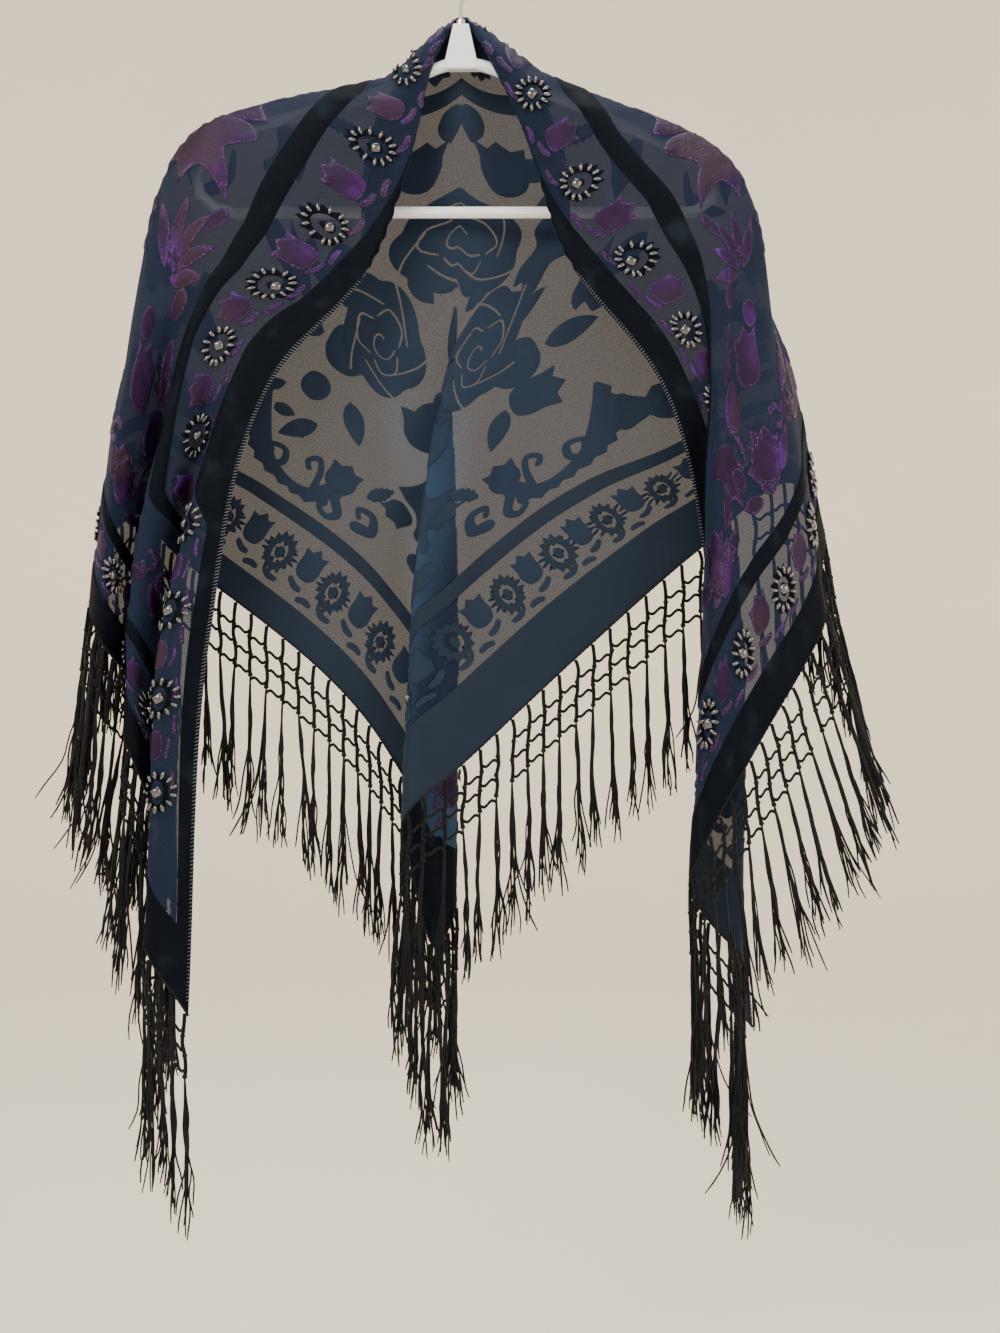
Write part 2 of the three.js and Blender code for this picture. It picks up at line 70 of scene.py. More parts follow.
# The same fold lines further down, where there are more of them, to the hem
FOLDS = [
    ("left front edge", -1, (-142, -38, -345), (-189, -44, -542), (-206, -40, -828)),
    ("left border pleat", -0.935, (-152, -39, -318), (-219, -49, -512), (-237, -48, -765)),
    ("left first valley in", -0.89, (-160, -37, -298), (-211, -17, -493), (-221, -8, -724)),
    ("left first valley out", -0.868, (-164, -36, -288), (-217, -11, -484), (-228, -1, -704)),
    ("left second leaf", -0.835, (-169, -35, -273), (-225, -27, -468), (-236, -24, -672)),
    ("left second pleat in", -0.8, (-175, -33, -257), (-236, -39, -450), (-249, -37, -632)),
    ("left second pleat out", -0.782, (-178, -32, -248), (-241, -36, -442), (-255, -34, -616)),
    ("left second valley in", -0.738, (-186, -30, -228), (-229, -6, -424), (-237, 12, -592)),
    ("left second valley out", -0.72, (-190, -28, -219), (-235, -1, -417), (-244, 18, -582)),
    ("left third leaf", -0.67, (-199, -22, -192), (-246, -20, -396), (-259, -11, -566)),
    ("left third pleat", -0.62, (-208, -11, -166), (-256, -34, -364), (-275, -38, -538)),
    ("left ridge", -0.585, (-214, 0, -151), (-261, -18, -344), (-285, -20, -512)),
    ("left back bend", -0.55, (-197, 10, -162), (-256, 2, -324), (-277, 8, -494)),
    ("left side", -0.51, (-178, 12, -177), (-252, 17, -306), (-285, 30, -468)),
    ("left back turn", -0.45, (-157, 12, -200), (-228, 23, -304), (-262, 44, -440)),
    ("left back", -0.38, (-133, 12, -228), (-192, 16, -345), (-232, 24, -468)),
    ("left centre pleat root", -0.16, (-55, 13, -305), (-62, 14, -445), (-65, 18, -618)),
    ("centre inner fold in", -0.05, (-12, 14, -339), (-8, 14, -514), (-10, 21, -728)),
    ("centre inner fold out", -0.03, (-7, 12.5, -344), (-3, 9, -525), (-4, 14, -748)),
    ("centre", 0, (-9, 8, -351), (-15, 1, -540), (-17, 3, -781)),
    ("centre outer leaf", 0.07, (-14, 1, -346), (-33, -13, -508), (-41, -16, -707)),
    ("centre outer fold in", 0.088, (-14, -2, -342), (-36, -18, -500), (-45, -22, -690)),
    ("centre outer fold out", 0.105, (-12, -3, -337), (-32, -21, -490), (-40, -27, -674)),
    ("right centre pleat root", 0.135, (0, -1, -325), (-10, -13, -470), (-10, -16, -648)),
    ("right back inner", 0.25, (50, 12, -285), (62, 14, -410), (91, 18, -555)),
    ("right back outer", 0.348, (98, 12, -248), (141, 15, -365), (186, 22, -471)),
    ("right back turn", 0.43, (140, 12, -222), (212, 22, -306), (264, 44, -414)),
    ("right side", 0.49, (166, 12, -202), (246, 18, -292), (287, 26, -456)),
    ("right back bend", 0.54, (190, 10, -182), (248, 2, -308), (280, -2, -498)),
    ("right ridge", 0.585, (209, 0, -166), (246, -18, -332), (279, -26, -528)),
    ("right outer front", 0.62, (204, -11, -181), (238, -30, -354), (262, -38, -560)),
    ("right front", 0.68, (196, -22, -207), (214, -39, -384), (228, -48, -616)),
    ("right front fold in", 0.772, (184, -31, -246), (190, -45, -438), (181, -48, -706)),
    ("right front fold out", 0.79, (179, -31, -254), (186, -39, -452), (175, -41, -724)),
    ("right behind, first wave", 0.84, (174, -31.5, -276), (196, -28, -472), (191, -16, -758)),
    ("right behind, second wave", 0.885, (168, -31.5, -296), (213, -24, -494), (214, -26, -784)),
    ("right behind, third wave", 0.93, (162, -30, -315), (209, -5, -516), (219, -5, -808)),
    ("right behind, fourth wave", 0.965, (157, -30, -330), (204, 3, -531), (215, 10, -828)),
    ("right front edge", 1, (152, -31, -344), (200, 10, -546), (230, 19, -848)),
]
# How far the ends of the locks swing out of the vertical: place across, sideways, backwards
SWING = [
    (-1, 0, 0),
    (-0.9, -4, 0),
    (-0.6, -22, 0),
    (-0.45, -12, 6),
    (-0.2, 0, 4),
    (0.2, 0, 4),
    (0.45, 18, 6),
    (0.6, 60, 0),
    (0.75, 12, 0),
    (1, 0, 0),
]

# Soft creases on the flat cloth: start, end, half width and height
CREASES = [
    ((-60, 30), (-150, 130), 7, 1.6),
    ((-120, 20), (-230, 110), 6, 1.2),
    ((-200, 15), (-300, 60), 7, 1.5),
    ((-330, 60), (-520, 95), 6, 1.3),
    ((-420, 40), (-640, 30), 8, 1.6),
    ((-520, 120), (-600, 150), 8, 1.5),
    ((60, 30), (150, 130), 7, 1.6),
    ((130, 20), (240, 110), 6, 1.2),
    ((210, 20), (330, 80), 7, 1.5),
    ((300, 90), (480, 170), 8, 1.8),
    ((340, 150), (520, 200), 7, 1.5),
    ((430, 60), (610, 80), 7, 1.4),
    ((-40, 330), (-110, 560), 9, 1.8),
    ((-120, 260), (-190, 480), 9, 1.6),
    ((-210, 260), (-250, 420), 8, 1.6),
    ((95, 300), (120, 560), 9, 1.8),
    ((170, 260), (220, 450), 9, 1.6),
    ((60, 330), (75, 600), 5, 1.0),
    ((10, 360), (12, 660), 5, 1.2),
    ((250, 230), (300, 380), 8, 1.5),
]

# How much of the neck's edge is turned under, at places along the long edge
TURNED = [
    (-830, 0), (-430, 0), (-398, 4), (-332, 11), (-300, 22), (-278, 32), (-245, 37), (-215, 37), (-150, 40),
    (-92, 41), (-46, 36), (0, 36), (46, 36), (92, 40), (150, 40), (214, 33), (250, 34), (283, 31), (319, 26),
    (352, 21), (390, 10), (440, 0), (830, 0),
]


def leans(xs, ys):
    """The slope of the smooth curve at each step of an uneven table."""
    xs = np.asarray(xs, float)
    gap = np.diff(xs).reshape((-1,) + (1,) * (ys.ndim - 1))
    slope = np.diff(ys, axis=0) / gap
    inner = (slope[:-1] * gap[1:] + slope[1:] * gap[:-1]) / (gap[:-1] + gap[1:])
    return np.concatenate([slope[:1], inner, slope[-1:]])


def hermite(u, h, y0, m0, y1, m1):
    """A smooth step of length h from y0 to y1 with slopes m0 and m1, at the share u of the way."""
    a = 2 * u**3 - 3 * u**2 + 1
    b = u**3 - 2 * u**2 + u
    c = 3 * u**2 - 2 * u**3
    d = u**3 - u**2
    return a * y0 + b * h * m0 + c * y1 + d * h * m1


def spot(xs, x):
    """For every x: the step of the table it lies in, that step's length, and how far along it x is."""
    xs = np.asarray(xs, float)
    x = np.clip(np.asarray(x, float), xs[0], xs[-1])
    i = np.clip(np.searchsorted(xs[1:-1], x, side="left"), 0, len(xs) - 2)
    h = xs[i + 1] - xs[i]
    return i, h, (x - xs[i]) / h


def smooth(xs, ys, x):
    """A smooth curve through a table, read at every x."""
    ys = np.asarray(ys, float)
    i, h, u = spot(xs, x)
    if ys.ndim > 1:
        h, u = h[:, None], u[:, None]
    m = leans(xs, ys)
    return hermite(u, h, ys[i], m[i], ys[i + 1], m[i + 1])


def unit(vectors):
    """The same vectors, one long."""
    return vectors / np.maximum(np.linalg.norm(vectors, axis=-1, keepdims=True), 1e-9)


def drape(reach, across):
    """The middle surface of the cloth, in mm, at fractions of the way down and across."""
    reach, across = np.broadcast_arrays(np.atleast_1d(np.asarray(reach, float)),
                                        np.atleast_1d(np.asarray(across, float)))
    levels = [np.broadcast_to(np.array(NECK, float), (len(reach), 3))]
    for table in (YOKE, FOLDS):
        at = [row[1] for row in table]
        levels += [smooth(at, [row[k] for row in table], across) for k in (2, 3, 4)]
    levels = np.stack(levels)
    m = leans(REACH, levels)
    i, h, u = spot(REACH, reach)
    n = np.arange(len(reach))
    return hermite(u[:, None], h[:, None], levels[i, n], m[i, n], levels[i + 1, n], m[i + 1, n])


def fan(s, t):
    """From a place on the flat cloth to fractions down and across."""
    reach = np.abs(s) / HALF_LENGTH + t / DEPTH
    across = s / (HALF_LENGTH * np.maximum(reach, 1e-6))
    return reach, np.clip(across, -1, 1)


def inward(s, t):
    """The unit normal on the lining side of the cloth."""
    reach, across = fan(s, t)
    reach = np.clip(reach, 0.02, 0.998)
    step_down, step_across = 0.003, 0.002
    down = drape(reach + step_down, across) - drape(reach - step_down, across)
    along = (drape(reach, np.clip(across + step_across, -1, 1))
             - drape(reach, np.clip(across - step_across, -1, 1)))
    return unit(np.cross(down, along))


def creased(s, t):
    """Height of the soft creases, in mm."""
    wave_length, wave_height_mm = 37.0, 4
    out = np.zeros(len(s))
    for (s0, t0), (s1, t1), wide, high in CREASES:
        ds, dt = s1 - s0, t1 - t0
        long = math.hypot(ds, dt)
        along = ((s - s0) * ds + (t - t0) * dt) / long
        aside = ((s - s0) * dt - (t - t0) * ds) / long
        bend = wave_height_mm * np.sin(along / wave_length)
        fade = np.clip(along / long, 0, 1) * np.clip(1 - along / long, 0, 1) * 4
        out += high * fade * np.exp(-(((aside - bend) / wide) ** 2))
    ripple = 0.35 * np.sin(s / 19 + 1.3 * np.sin(t / 31)) + 0.3 * np.sin(s / 11 - t / 23)
    return out + ripple


def settled(s, t):
    """Flat places, the depths they move to as the neck's edge is turned under, and how far behind
    the cloth the turned part lies, all in mm."""
    s, t = np.broadcast_arrays(np.atleast_1d(np.asarray(s, float)), np.atleast_1d(np.asarray(t, float)))
    opens_at, opens_over = 50, 190.0
    felt_to, felt_over = 260, 110.0
    edge_depth = 60.0
    behind, bend = 2.2, 1.5
    take = np.interp(s, [row[0] for row in TURNED], [row[1] for row in TURNED])
    open_share = np.clip((np.abs(s) - opens_at) / opens_over, 0, 1)
    fold = take * (1 - open_share) / np.maximum(1 - take * open_share / edge_depth, 0.3)
    fade = np.clip((felt_to - t) / felt_over, 0, 1)
    share = (1 - open_share) + open_share * np.clip(t / edge_depth, 0, 1)
    moved = np.where(t < fold, (fold - t) * 0.8, np.maximum(t - take * share * fade, 0))
    under = np.where(t < fold, -behind * (1 - np.exp(-(fold - t) / bend)), 0)
    return s, t, moved, under


def lay(s, t, up=0.0):
    """Where a place of the flat cloth hangs, in metres; up is above the right side, in mm."""
    s, t, moved, under = settled(s, t)
    reach, across = fan(s, moved)
    place = drape(reach, across)
    lift = np.asarray(up, float) + under + creased(s, t) * np.clip((reach - 0.02) / 0.1, 0, 1)
    return (place - inward(s, moved) * lift[:, None]) / 1000.0


def side_out(s, t):
    """The unit normal of the right side at a place of the flat cloth."""
    s, t, moved, under = settled(s, t)
    return -inward(s, moved)


# Flat drawing of the pattern. Border places are (along the edge, depth from the edge).
EDGES = ("top", "left", "right")
LEG = np.array([HALF_LENGTH, DEPTH]) / SIDE
LEG_IN = np.array([DEPTH, -HALF_LENGTH]) / SIDE
WIDE_BAND = 34.0
STRIP_END = 86.0
BORDER = 101.0
BURST_DEPTH = 61.0
BURST_PITCH = 62.0
BURST_RING = 12.5
BEADS = 13

# What a face of the cloth is
GROUND, VELVET, BAND = 0, 1, 2

# Points on each step of a strip's path, and points in each of its round ends
STRIP_STEPS = 4
STRIP_ENDS = 3

# Steps of the flat mesh: along its lines, and between the loose points, which keep clear of the edge
LINE_STEP = 4.0
GRID_STEP = 5.4
GRID_ROW = 4.7
EDGE_CLEAR = 3.0
LINE_CLEAR = 0.9
POINT_CLEAR = 1.1
BAND_EDGE = 1.4

# How far the motifs of the field and the scrolls keep inside the border
FIELD_CLEAR = 3
SCROLL_CLEAR = 4

# Heights above the middle of the cloth: the right skin, its pile with the width of the pile's edge,
# the skin on the lining side, how far that swells behind the pile, and the beads
SKIN = 0.15
PILE = 0.95
PILE_EDGE = 1.3
REVERSE = 0.35
REVERSE_SWELL = 0.3
BEAD_LIFT = 0.9

# Where depths of the drawing lie on the hung cloth, for the stretches drawn out or turned away
DRAWN = np.array([0, 34, 61, 86, 101, 200, 330, 900.0])
LIES = {
    "left": np.array([0, 35, 76, 113, 128, 212, 330, 900.0]),
    "right": np.array([0, 63, 98, 130, 146, 226, 330, 900.0]),
    "top left": np.array([0, 12, 28, 45, 58, 200, 330, 900.0]),
    "top right": np.array([0, 7, 16, 26, 34, 200, 330, 900.0]),
}


def step(low, high, x):
    """0 below low, 1 above high, smooth between."""
    u = np.clip((x - low) / (high - low), 0, 1)
    return u * u * (3 - 2 * u)


def depths_along(edge, u):
    """Where the depths of DRAWN lie on the hung cloth, for places along an edge."""
    if edge == "top":
        left = u < 0
        table = np.where(left[..., None], LIES["top left"], LIES["top right"])
        share = np.where(left, step(430, 480, -u), step(430, 500, u))
    else:
        table, share = LIES[edge], step(620, 740, u)
    return DRAWN + (table - DRAWN) * share[..., None]


def between(depths, k):
    """The k-th depth of every row, and the next one."""
    return (np.take_along_axis(depths, k[..., None] + j, -1)[..., 0] for j in (0, 1))


def lies_at(edge, u, v):
    """Depth on the hung cloth of a depth of the drawing."""
    u, v = np.broadcast_arrays(np.asarray(u, float), np.asarray(v, float))
    k = np.clip(np.searchsorted(DRAWN, v, side="right") - 1, 0, len(DRAWN) - 2)
    low, high = between(depths_along(edge, u), k)
    return low + (high - low) * (v - DRAWN[k]) / (DRAWN[k + 1] - DRAWN[k])


def drawn_depth(edge, s, t):
    """Depth in the drawing of places of the hung cloth, from one edge."""
    if edge == "top":
        u, v = s, t
    else:
        along = (HALF_LENGTH + s) if edge == "left" else (HALF_LENGTH - s)
        u = along * LEG[0] + t * LEG[1]
        v = along * LEG_IN[0] + t * LEG_IN[1]
    depths = depths_along(edge, u)
    k = np.clip(np.sum(depths[..., 1:-1] <= v[..., None], axis=-1), 0, len(DRAWN) - 2)
    low, high = between(depths, k)
    return DRAWN[k] + (DRAWN[k + 1] - DRAWN[k]) * (v - low) / (high - low)


def on_edge(edge, u, v):
    """A border place on the flat cloth. Edge is 'top', 'left' or 'right'."""
    u = np.asarray(u, float)
    v = lies_at(edge, u, v)
    u = np.broadcast_to(u, v.shape)
    if edge == "top":
        return np.stack([u, v], axis=-1)
    s = -HALF_LENGTH + LEG[0] * u + LEG_IN[0] * v
    t = LEG[1] * u + LEG_IN[1] * v
    return np.stack([s if edge == "left" else -s, t], axis=-1)


def ring(knots):
    """A closed outline through knots; a knot with a third value is a sharp corner."""
    steps = 3
    n = len(knots)
    pts = [np.array(k[:2], float) for k in knots]
    sharp = [len(k) > 2 for k in knots]
    out = []
    for i in range(n):
        p0, p1, p2, p3 = pts[i - 1], pts[i], pts[(i + 1) % n], pts[(i + 2) % n]
        m1 = (p2 - p1) if sharp[i] else (p2 - p0) / 2
        m2 = (p2 - p1) if sharp[(i + 1) % n] else (p3 - p1) / 2
        out += [hermite(k / steps, 1.0, p1, m1, p2, m2) for k in range(steps)]
    return np.array(out)


def leaf(long, wide, teeth=0, bite=0.0):
    """A pointed leaf from its stalk at 0 up to long, with an optional toothed edge."""
    n = 9 if not teeth else teeth * 2 + 1
    out = []
    for side in (1, -1):
        for k in range(n):
            u = k / n if side > 0 else 1 - k / n
            half = wide / 2 * math.sin(math.pi * u**0.8) ** 0.85
            if teeth and 0 < k < n:
                half *= 1 - bite * (k % 2)
            out.append((side * half, u * long))
    return np.array(out)


def strip(path, widths):
    """A band along a path with its own width at each point and round ends."""
    path = np.array(path, float)
    xs = np.arange(len(path))
    fine = np.linspace(0, len(path) - 1, (len(path) - 1) * STRIP_STEPS + 1)
    mid = smooth(xs, path, fine)
    half = smooth(xs, np.array(widths, float), fine)[:, None] / 2
    way = unit(np.gradient(mid, axis=0))
    aside = np.stack([-way[:, 1], way[:, 0]], axis=1)
    angles = np.linspace(0, math.pi, STRIP_ENDS + 2)[1:-1]
    tip = [mid[-1] + (aside[-1] * math.cos(a) + way[-1] * math.sin(a)) * half[-1] for a in angles]
    tail = [mid[0] - (aside[0] * math.cos(a) + way[0] * math.sin(a)) * half[0] for a in angles]
    return np.array(list(mid + aside * half) + tip + list((mid - aside * half)[::-1]) + tail)


def curl(turns, size, thick):
    """A hooked scroll that winds in to a round end."""
    u = np.linspace(0, 1, 7)
    angle = math.pi / 2 - turns * 2 * math.pi * u
    r = size * (1 - 0.55 * u)
    path = np.stack([r * np.cos(angle), r * np.sin(angle)], axis=1)
    return strip(path, thick * (1.0 - 0.3 * np.sin(math.pi * u)))


TULIP = ring([
    (0, -12.5), (7.8, -10.5), (11.2, -3), (10.6, 4), (12, 12, 1), (6, 9.4, 1), (0.8, 14.5, 1),
    (-4.8, 9.4, 1), (-11.6, 10.5, 1), (-10.6, 3), (-11, -4), (-7.8, -10.5),
])
TRUMPET = ring([
    (0, 26, 1), (6, 15), (13, 9), (19, -3, 1), (11, -5), (4, -8), (2.5, -18), (4, -25), (0, -28),
    (-3, -24), (-2, -17), (-5, -8), (-12, -4), (-19, 3, 1), (-12, 8), (-5, 16),
])
LILY = ring([
    (-34, -6), (-26, 12), (-12, 24), (4, 26), (20, 30, 1), (15, 20, 1), (30, 20, 1), (22, 10, 1),
    (34, 2, 1), (18, -2), (14, -14), (20, -36, 1), (4, -24), (-6, -10), (-18, -14), (-28, -18),
])
BUD = ring([(0, 15, 1), (6, 7), (8, -2), (5, -10), (0, -12), (-5, -10), (-8, -2), (-6, 7)])
BUTTERFLY = ring([
    (0, 20), (8, 26), (15, 20), (12, 8), (20, 2, 1), (14, -8), (4, -6), (2, -20, 1), (-5, -8),
    (-16, -12), (-20, -2), (-10, 4), (-11, 16), (-5, 24),
])

# Places of the bead bursts along each edge
BURSTS = {
    "top": [-671, -603, -537, -470, -398, -336, -278, -215, -136, -56, 14, 85, 172, 250, 319, 379, 442, 510, 578,
            646],
    "left": [176, 238, 300, 362, 424, 486, 548, 610, 670, 727, 779, 832, 886, 940, 994, 1048],
    "right": [176, 238, 300, 362, 424, 486, 548, 610, 664, 709, 749, 789, 838, 890, 944, 1000],
}


def burst_petals():
    """The toothed ring under the beads."""
    out = []
    for k in range(26):
        a = 2 * math.pi * k / 26
        r = 18.0 if k % 2 == 0 else 14.0
        out.append((r * math.cos(a) * 0.86, r * math.sin(a)))
    return np.array(out)


def oval(rx, ry):
    a = np.linspace(0, 2 * math.pi, 14, endpoint=False)
    return np.stack([rx * np.cos(a), ry * np.sin(a)], axis=1)


def rose(rx, ry):
    """An open rose: a lobed flower with light lines between its petals and a curled heart."""

    def line(angles, reach, widths):
        """A light line through places given by their angles and their reach from the heart."""
        return strip(np.stack([np.cos(angles) * reach, np.sin(angles) * reach], axis=1) * (rx, ry), widths), GROUND

    angle = np.linspace(0, 2 * math.pi, 60, endpoint=False)
    lobes = 1 + 0.07 * np.abs(np.sin(angle * 2.5 + 0.4)) * 2 - 0.07
    out = [(np.stack([np.cos(angle) * lobes, np.sin(angle) * lobes], axis=1) * (rx, ry), VELVET)]
    for start in (10, 82, 150, 222, 296):
        out.append(line(np.radians(start + np.array([0, 16, 40, 64])), (1.12, 0.88, 0.68, 0.62),
                        (2.2, 1.6, 1.5, 1.4)))
    for start, near, far in ((30, 0.60, 0.42), (150, 0.64, 0.40), (265, 0.60, 0.42)):
        out.append(line(np.radians(start + np.array([0, 35, 70, 100])), (far, near, near, far),
                        (1.3, 1.6, 1.6, 1.3)))
    out.append(line(np.linspace(0.3, 5.4, 7), np.linspace(0.34, 0.12, 7), [1.4] * 7))
    return out


def turn(points, angle, scale=1.0):
    """The same points, scaled and turned by an angle in degrees."""
    c, s = math.cos(math.radians(angle)), math.sin(math.radians(angle))
    points = np.asarray(points) * scale
    return np.stack([points[:, 0] * c - points[:, 1] * s, points[:, 0] * s + points[:, 1] * c], axis=1)


def burst_outlines(edge):
    """The dark ring, the clear middle and the dark heart of one burst on an edge."""
    middle = oval(9.0, 9.6) if edge == "top" else oval(7.0, 9.0)
    return (burst_petals(), BAND), (middle, GROUND), (oval(3.8, 5.2), BAND)


def border_cells():
    """Flower strip of the three edges: bead bursts, tulip heads and dashes between them."""
    between_bursts = (
        (TULIP, 0, 66),
        (strip([(-7, 2.4), (-1, -0.6), (5, -1)], (4.6, 5.2, 4.4)), -2, 47.5),
        (strip([(-6, -1.4), (0, 0.4), (6, 0)], (4.4, 5.0, 4.2)), 13, 41.5),
        (strip([(-7, 2.6), (-1, 0), (6, 0.4)], (4.4, 5.2, 4.2)), -27, 41.5),
    )
    cells = []
    bursts = []
    for edge, places in BURSTS.items():
        for n, u in enumerate(places):
            if drawn_room(on_edge(edge, u, BURST_DEPTH), edge) < BURST_DEPTH - 8:
                continue
            way = -1 if edge == "top" and u > 10 else 1
            gap = abs(places[n + way] - u) if n + way < len(places) else BURST_PITCH
            narrow = 1.0 if edge == "top" else gap / BURST_PITCH
            bursts.append((edge, u))
            for shape, kind in burst_outlines(edge):
                cells.append((on_edge(edge, u + shape[:, 0] * narrow, BURST_DEPTH + shape[:, 1]), kind))
            middle = u + gap / 2 * way
            if drawn_room(on_edge(edge, middle, BURST_DEPTH), edge) < BURST_DEPTH - 10:
                continue
            for shape, du, dv in between_bursts:
                tall = 1.3 if edge == "top" and abs(u) < 380 and dv < 60 else 1.0
                along = middle + (du + shape[:, 0]) * way * narrow
                cells.append((on_edge(edge, along, dv + shape[:, 1] * tall), VELVET))
    return cells, bursts


def edge_room(place):
    """Distance of a flat place from the nearest edge of the cloth."""
    s, t = place[..., 0], place[..., 1]
    slant = (HALF_LENGTH - np.abs(s)) * LEG_IN[0] - t * LEG[0]
    return np.minimum(t, slant)


def drawn_room(place, skip=""):
    """The smallest depth in the drawing of a flat place, from the edges other than skip."""
    s, t = place[..., 0], place[..., 1]
    return np.min([drawn_depth(e, s, t) for e in EDGES if e != skip], axis=0)


def blade(path, widths, tooth):
    """A tapering stroke with saw teeth along its upper side."""
    outline = strip(path, widths)
    n = (len(path) - 1) * STRIP_STEPS + 1
    out = outline.copy()
    for k in range(1, n - 1, 2):
        middle = (outline[k] + outline[len(outline) - STRIP_ENDS - 1 - k]) / 2
        out[k] += unit(outline[k] - middle) * tooth
    return out


def scroll_cells():
    """Scrolls that stand on the thin band of the two short edges."""
    low_scroll = (
        blade([(4, 148), (-12, 124), (-34, 121), (-60, 130), (-78, 150), (-92, 180), (-97, 206)],
              (16, 15, 10, 15, 20, 17, 5), 4.0),
        strip([(-96, 150), (-104, 164), (-103, 182)], (12, 30, 12)),
        strip([(6, 136), (16, 122), (9, 112), (-1, 117), (1, 125)], (10, 9, 7, 6, 7)),
        strip([(36, 124), (50, 132), (44, 148), (30, 144), (33, 136)], (13, 11, 8, 6, 6)),
        strip([(-60, 128), (-50, 138), (-54, 152), (-66, 151), (-65, 143)], (8, 7, 6, 6, 7)),
        strip([(-14, 130), (-17, 152), (-24, 164), (-32, 156), (-28, 149)], (7, 6, 6, 5, 6)),
        TULIP * 1.35 + (2, 160),
        turn(TULIP, 160, 1.1) + (58, 176),
        turn(leaf(36, 15, 5, 0.3), -24) + (30, 160),
    )
    high_scroll = (
        turn(TULIP, 24, 1.45) + (0, 138),
        turn(leaf(38, 15), -62) + (14, 126),
        turn(leaf(30, 12), 70) + (-16, 122),
        turn(curl(0.7, 10, 6.5), 30) + (38, 152),
        turn(BUD, 40) + (-36, 150),
    )
    cells = []
    for edge in ("left", "right"):
        for shapes, places in ((low_scroll, ((785, 1), (932, -1))),
                               (high_scroll, ((640, 1), (546, -1), (452, 1), (358, -1), (268, 1)))):
            for u, flip in places:
                for shape in shapes:
                    place = on_edge(edge, u + shape[:, 0] * flip * 0.9, shape[:, 1])
                    if drawn_room(place, edge).min() > BORDER + SCROLL_CLEAR:
                        cells.append((place, VELVET))
    return cells


# Larger motifs of the field: kind, s, t, angle, scale, and on which half of the cloth (0 is both)
FIELD = [
    ("leaf", 68, 250, -135, 0.95, 0), ("disc", 94, 272, 10, 2.0, 0), ("leaf", 112, 258, -112, 0.85, 0),
    ("disc", 52, 238, 15, 1.1, 1), ("tulip", 118, 300, -118, 1.5, 1), ("leaf", 99, 312, 6, 0.95, 1),
    ("disc", 127, 302, 0, 1.25, -1), ("leaf", 132, 336, -80, 0.9, -1), ("bud", 158, 322, 60, 0.7, -1),
    ("leaf", 100, 316, 0, 1.0, -1), ("bud", 150, 340, 20, 0.6, -1), ("bud", 160, 300, 100, 0.6, -1),
    ("butterfly", 78, 196, 20, 1.15, 1), ("leaf", 78, 206, -60, 0.9, -1), ("butterfly", 96, 226, -80, 0.8, -1),
    ("tulip", 40, 330, 175, 1.5, 0), ("leaf", 16, 340, 10, 1.1, 0), ("butterfly", 20, 420, 10, 1.4, 0),
    ("trumpet", 50, 396, 160, 1.2, 0), ("toothed", 22, 452, -20, 1.1, 0), ("bud", 60, 452, 50, 1.2, 0),
    ("bud", 22, 312, 0, 1.2, 0), ("tulip", 30, 148, 170, 1.5, 0), ("leaf", 66, 150, 100, 1.0, 0),
    ("bud", 66, 170, 70, 1.1, 0), ("bud", 8, 120, 0, 1.2, 0), ("toothed", 100, 130, 95, 0.7, 0),
    ("trumpet", 128, 158, 120, 1.0, 0), ("leaf", 156, 196, 40, 1.0, 0), ("butterfly", 130, 216, 0, 1.0, 0),
    ("lily", 204, 144, 20, 1.05, 0), ("trumpet", 156, 136, -60, 1.0, 0), ("leaf", 240, 114, -70, 0.6, 0),
    ("fan", 290, 154, 127, 1.0, 0), ("disc", 306, 128, 0, 0.9, 0), ("disc", 310, 166, 0, 0.85, 0),
    ("butterfly", 256, 196, 40, 1.2, 0), ("tulip", 338, 168, 120, 1.4, 0), ("leaf", 324, 126, -60, 0.9, 0),
    ("bud", 352, 136, 60, 1.1, 0), ("disc", 374, 150, 0, 1.6, 0), ("toothed", 300, 224, -100, 1.0, 0),
    ("lily", 420, 146, 60, 0.85, 0), ("tulip", 392, 194, 100, 1.4, 0), ("leaf", 438, 196, -50, 1.0, 0),
    ("tulip", 474, 150, 90, 1.4, 0), ("butterfly", 462, 190, 0, 1.1, 0), ("leaf", 500, 140, 70, 0.9, 0),
    ("bud", 520, 128, 30, 1.1, 0), ("tulip", 556, 130, 80, 1.1, 0), ("leaf", 604, 118, 60, 0.8, 0),
    ("butterfly", 226, 250, 20, 1.2, 0), ("tulip", 262, 262, 150, 1.3, 0), ("bud", 352, 226, 20, 1.3, 0),
    ("tulip", 310, 286, 200, 1.2, 0), ("leaf", 196, 300, -40, 1.1, 0), ("disc", 232, 316, 0, 1.2, 0),
    ("leaf", 2, 244, 4, 1.5, 0), ("bud", 30, 226, 40, 0.9, 0), ("leaf", 30, 306, -30, 1.0, 0),
    ("disc", 40, 500, 0, 1.2, 0), ("leaf", 8, 520, 10, 1.0, 0), ("tulip", 70, 500, 150, 1.1, 0),
]


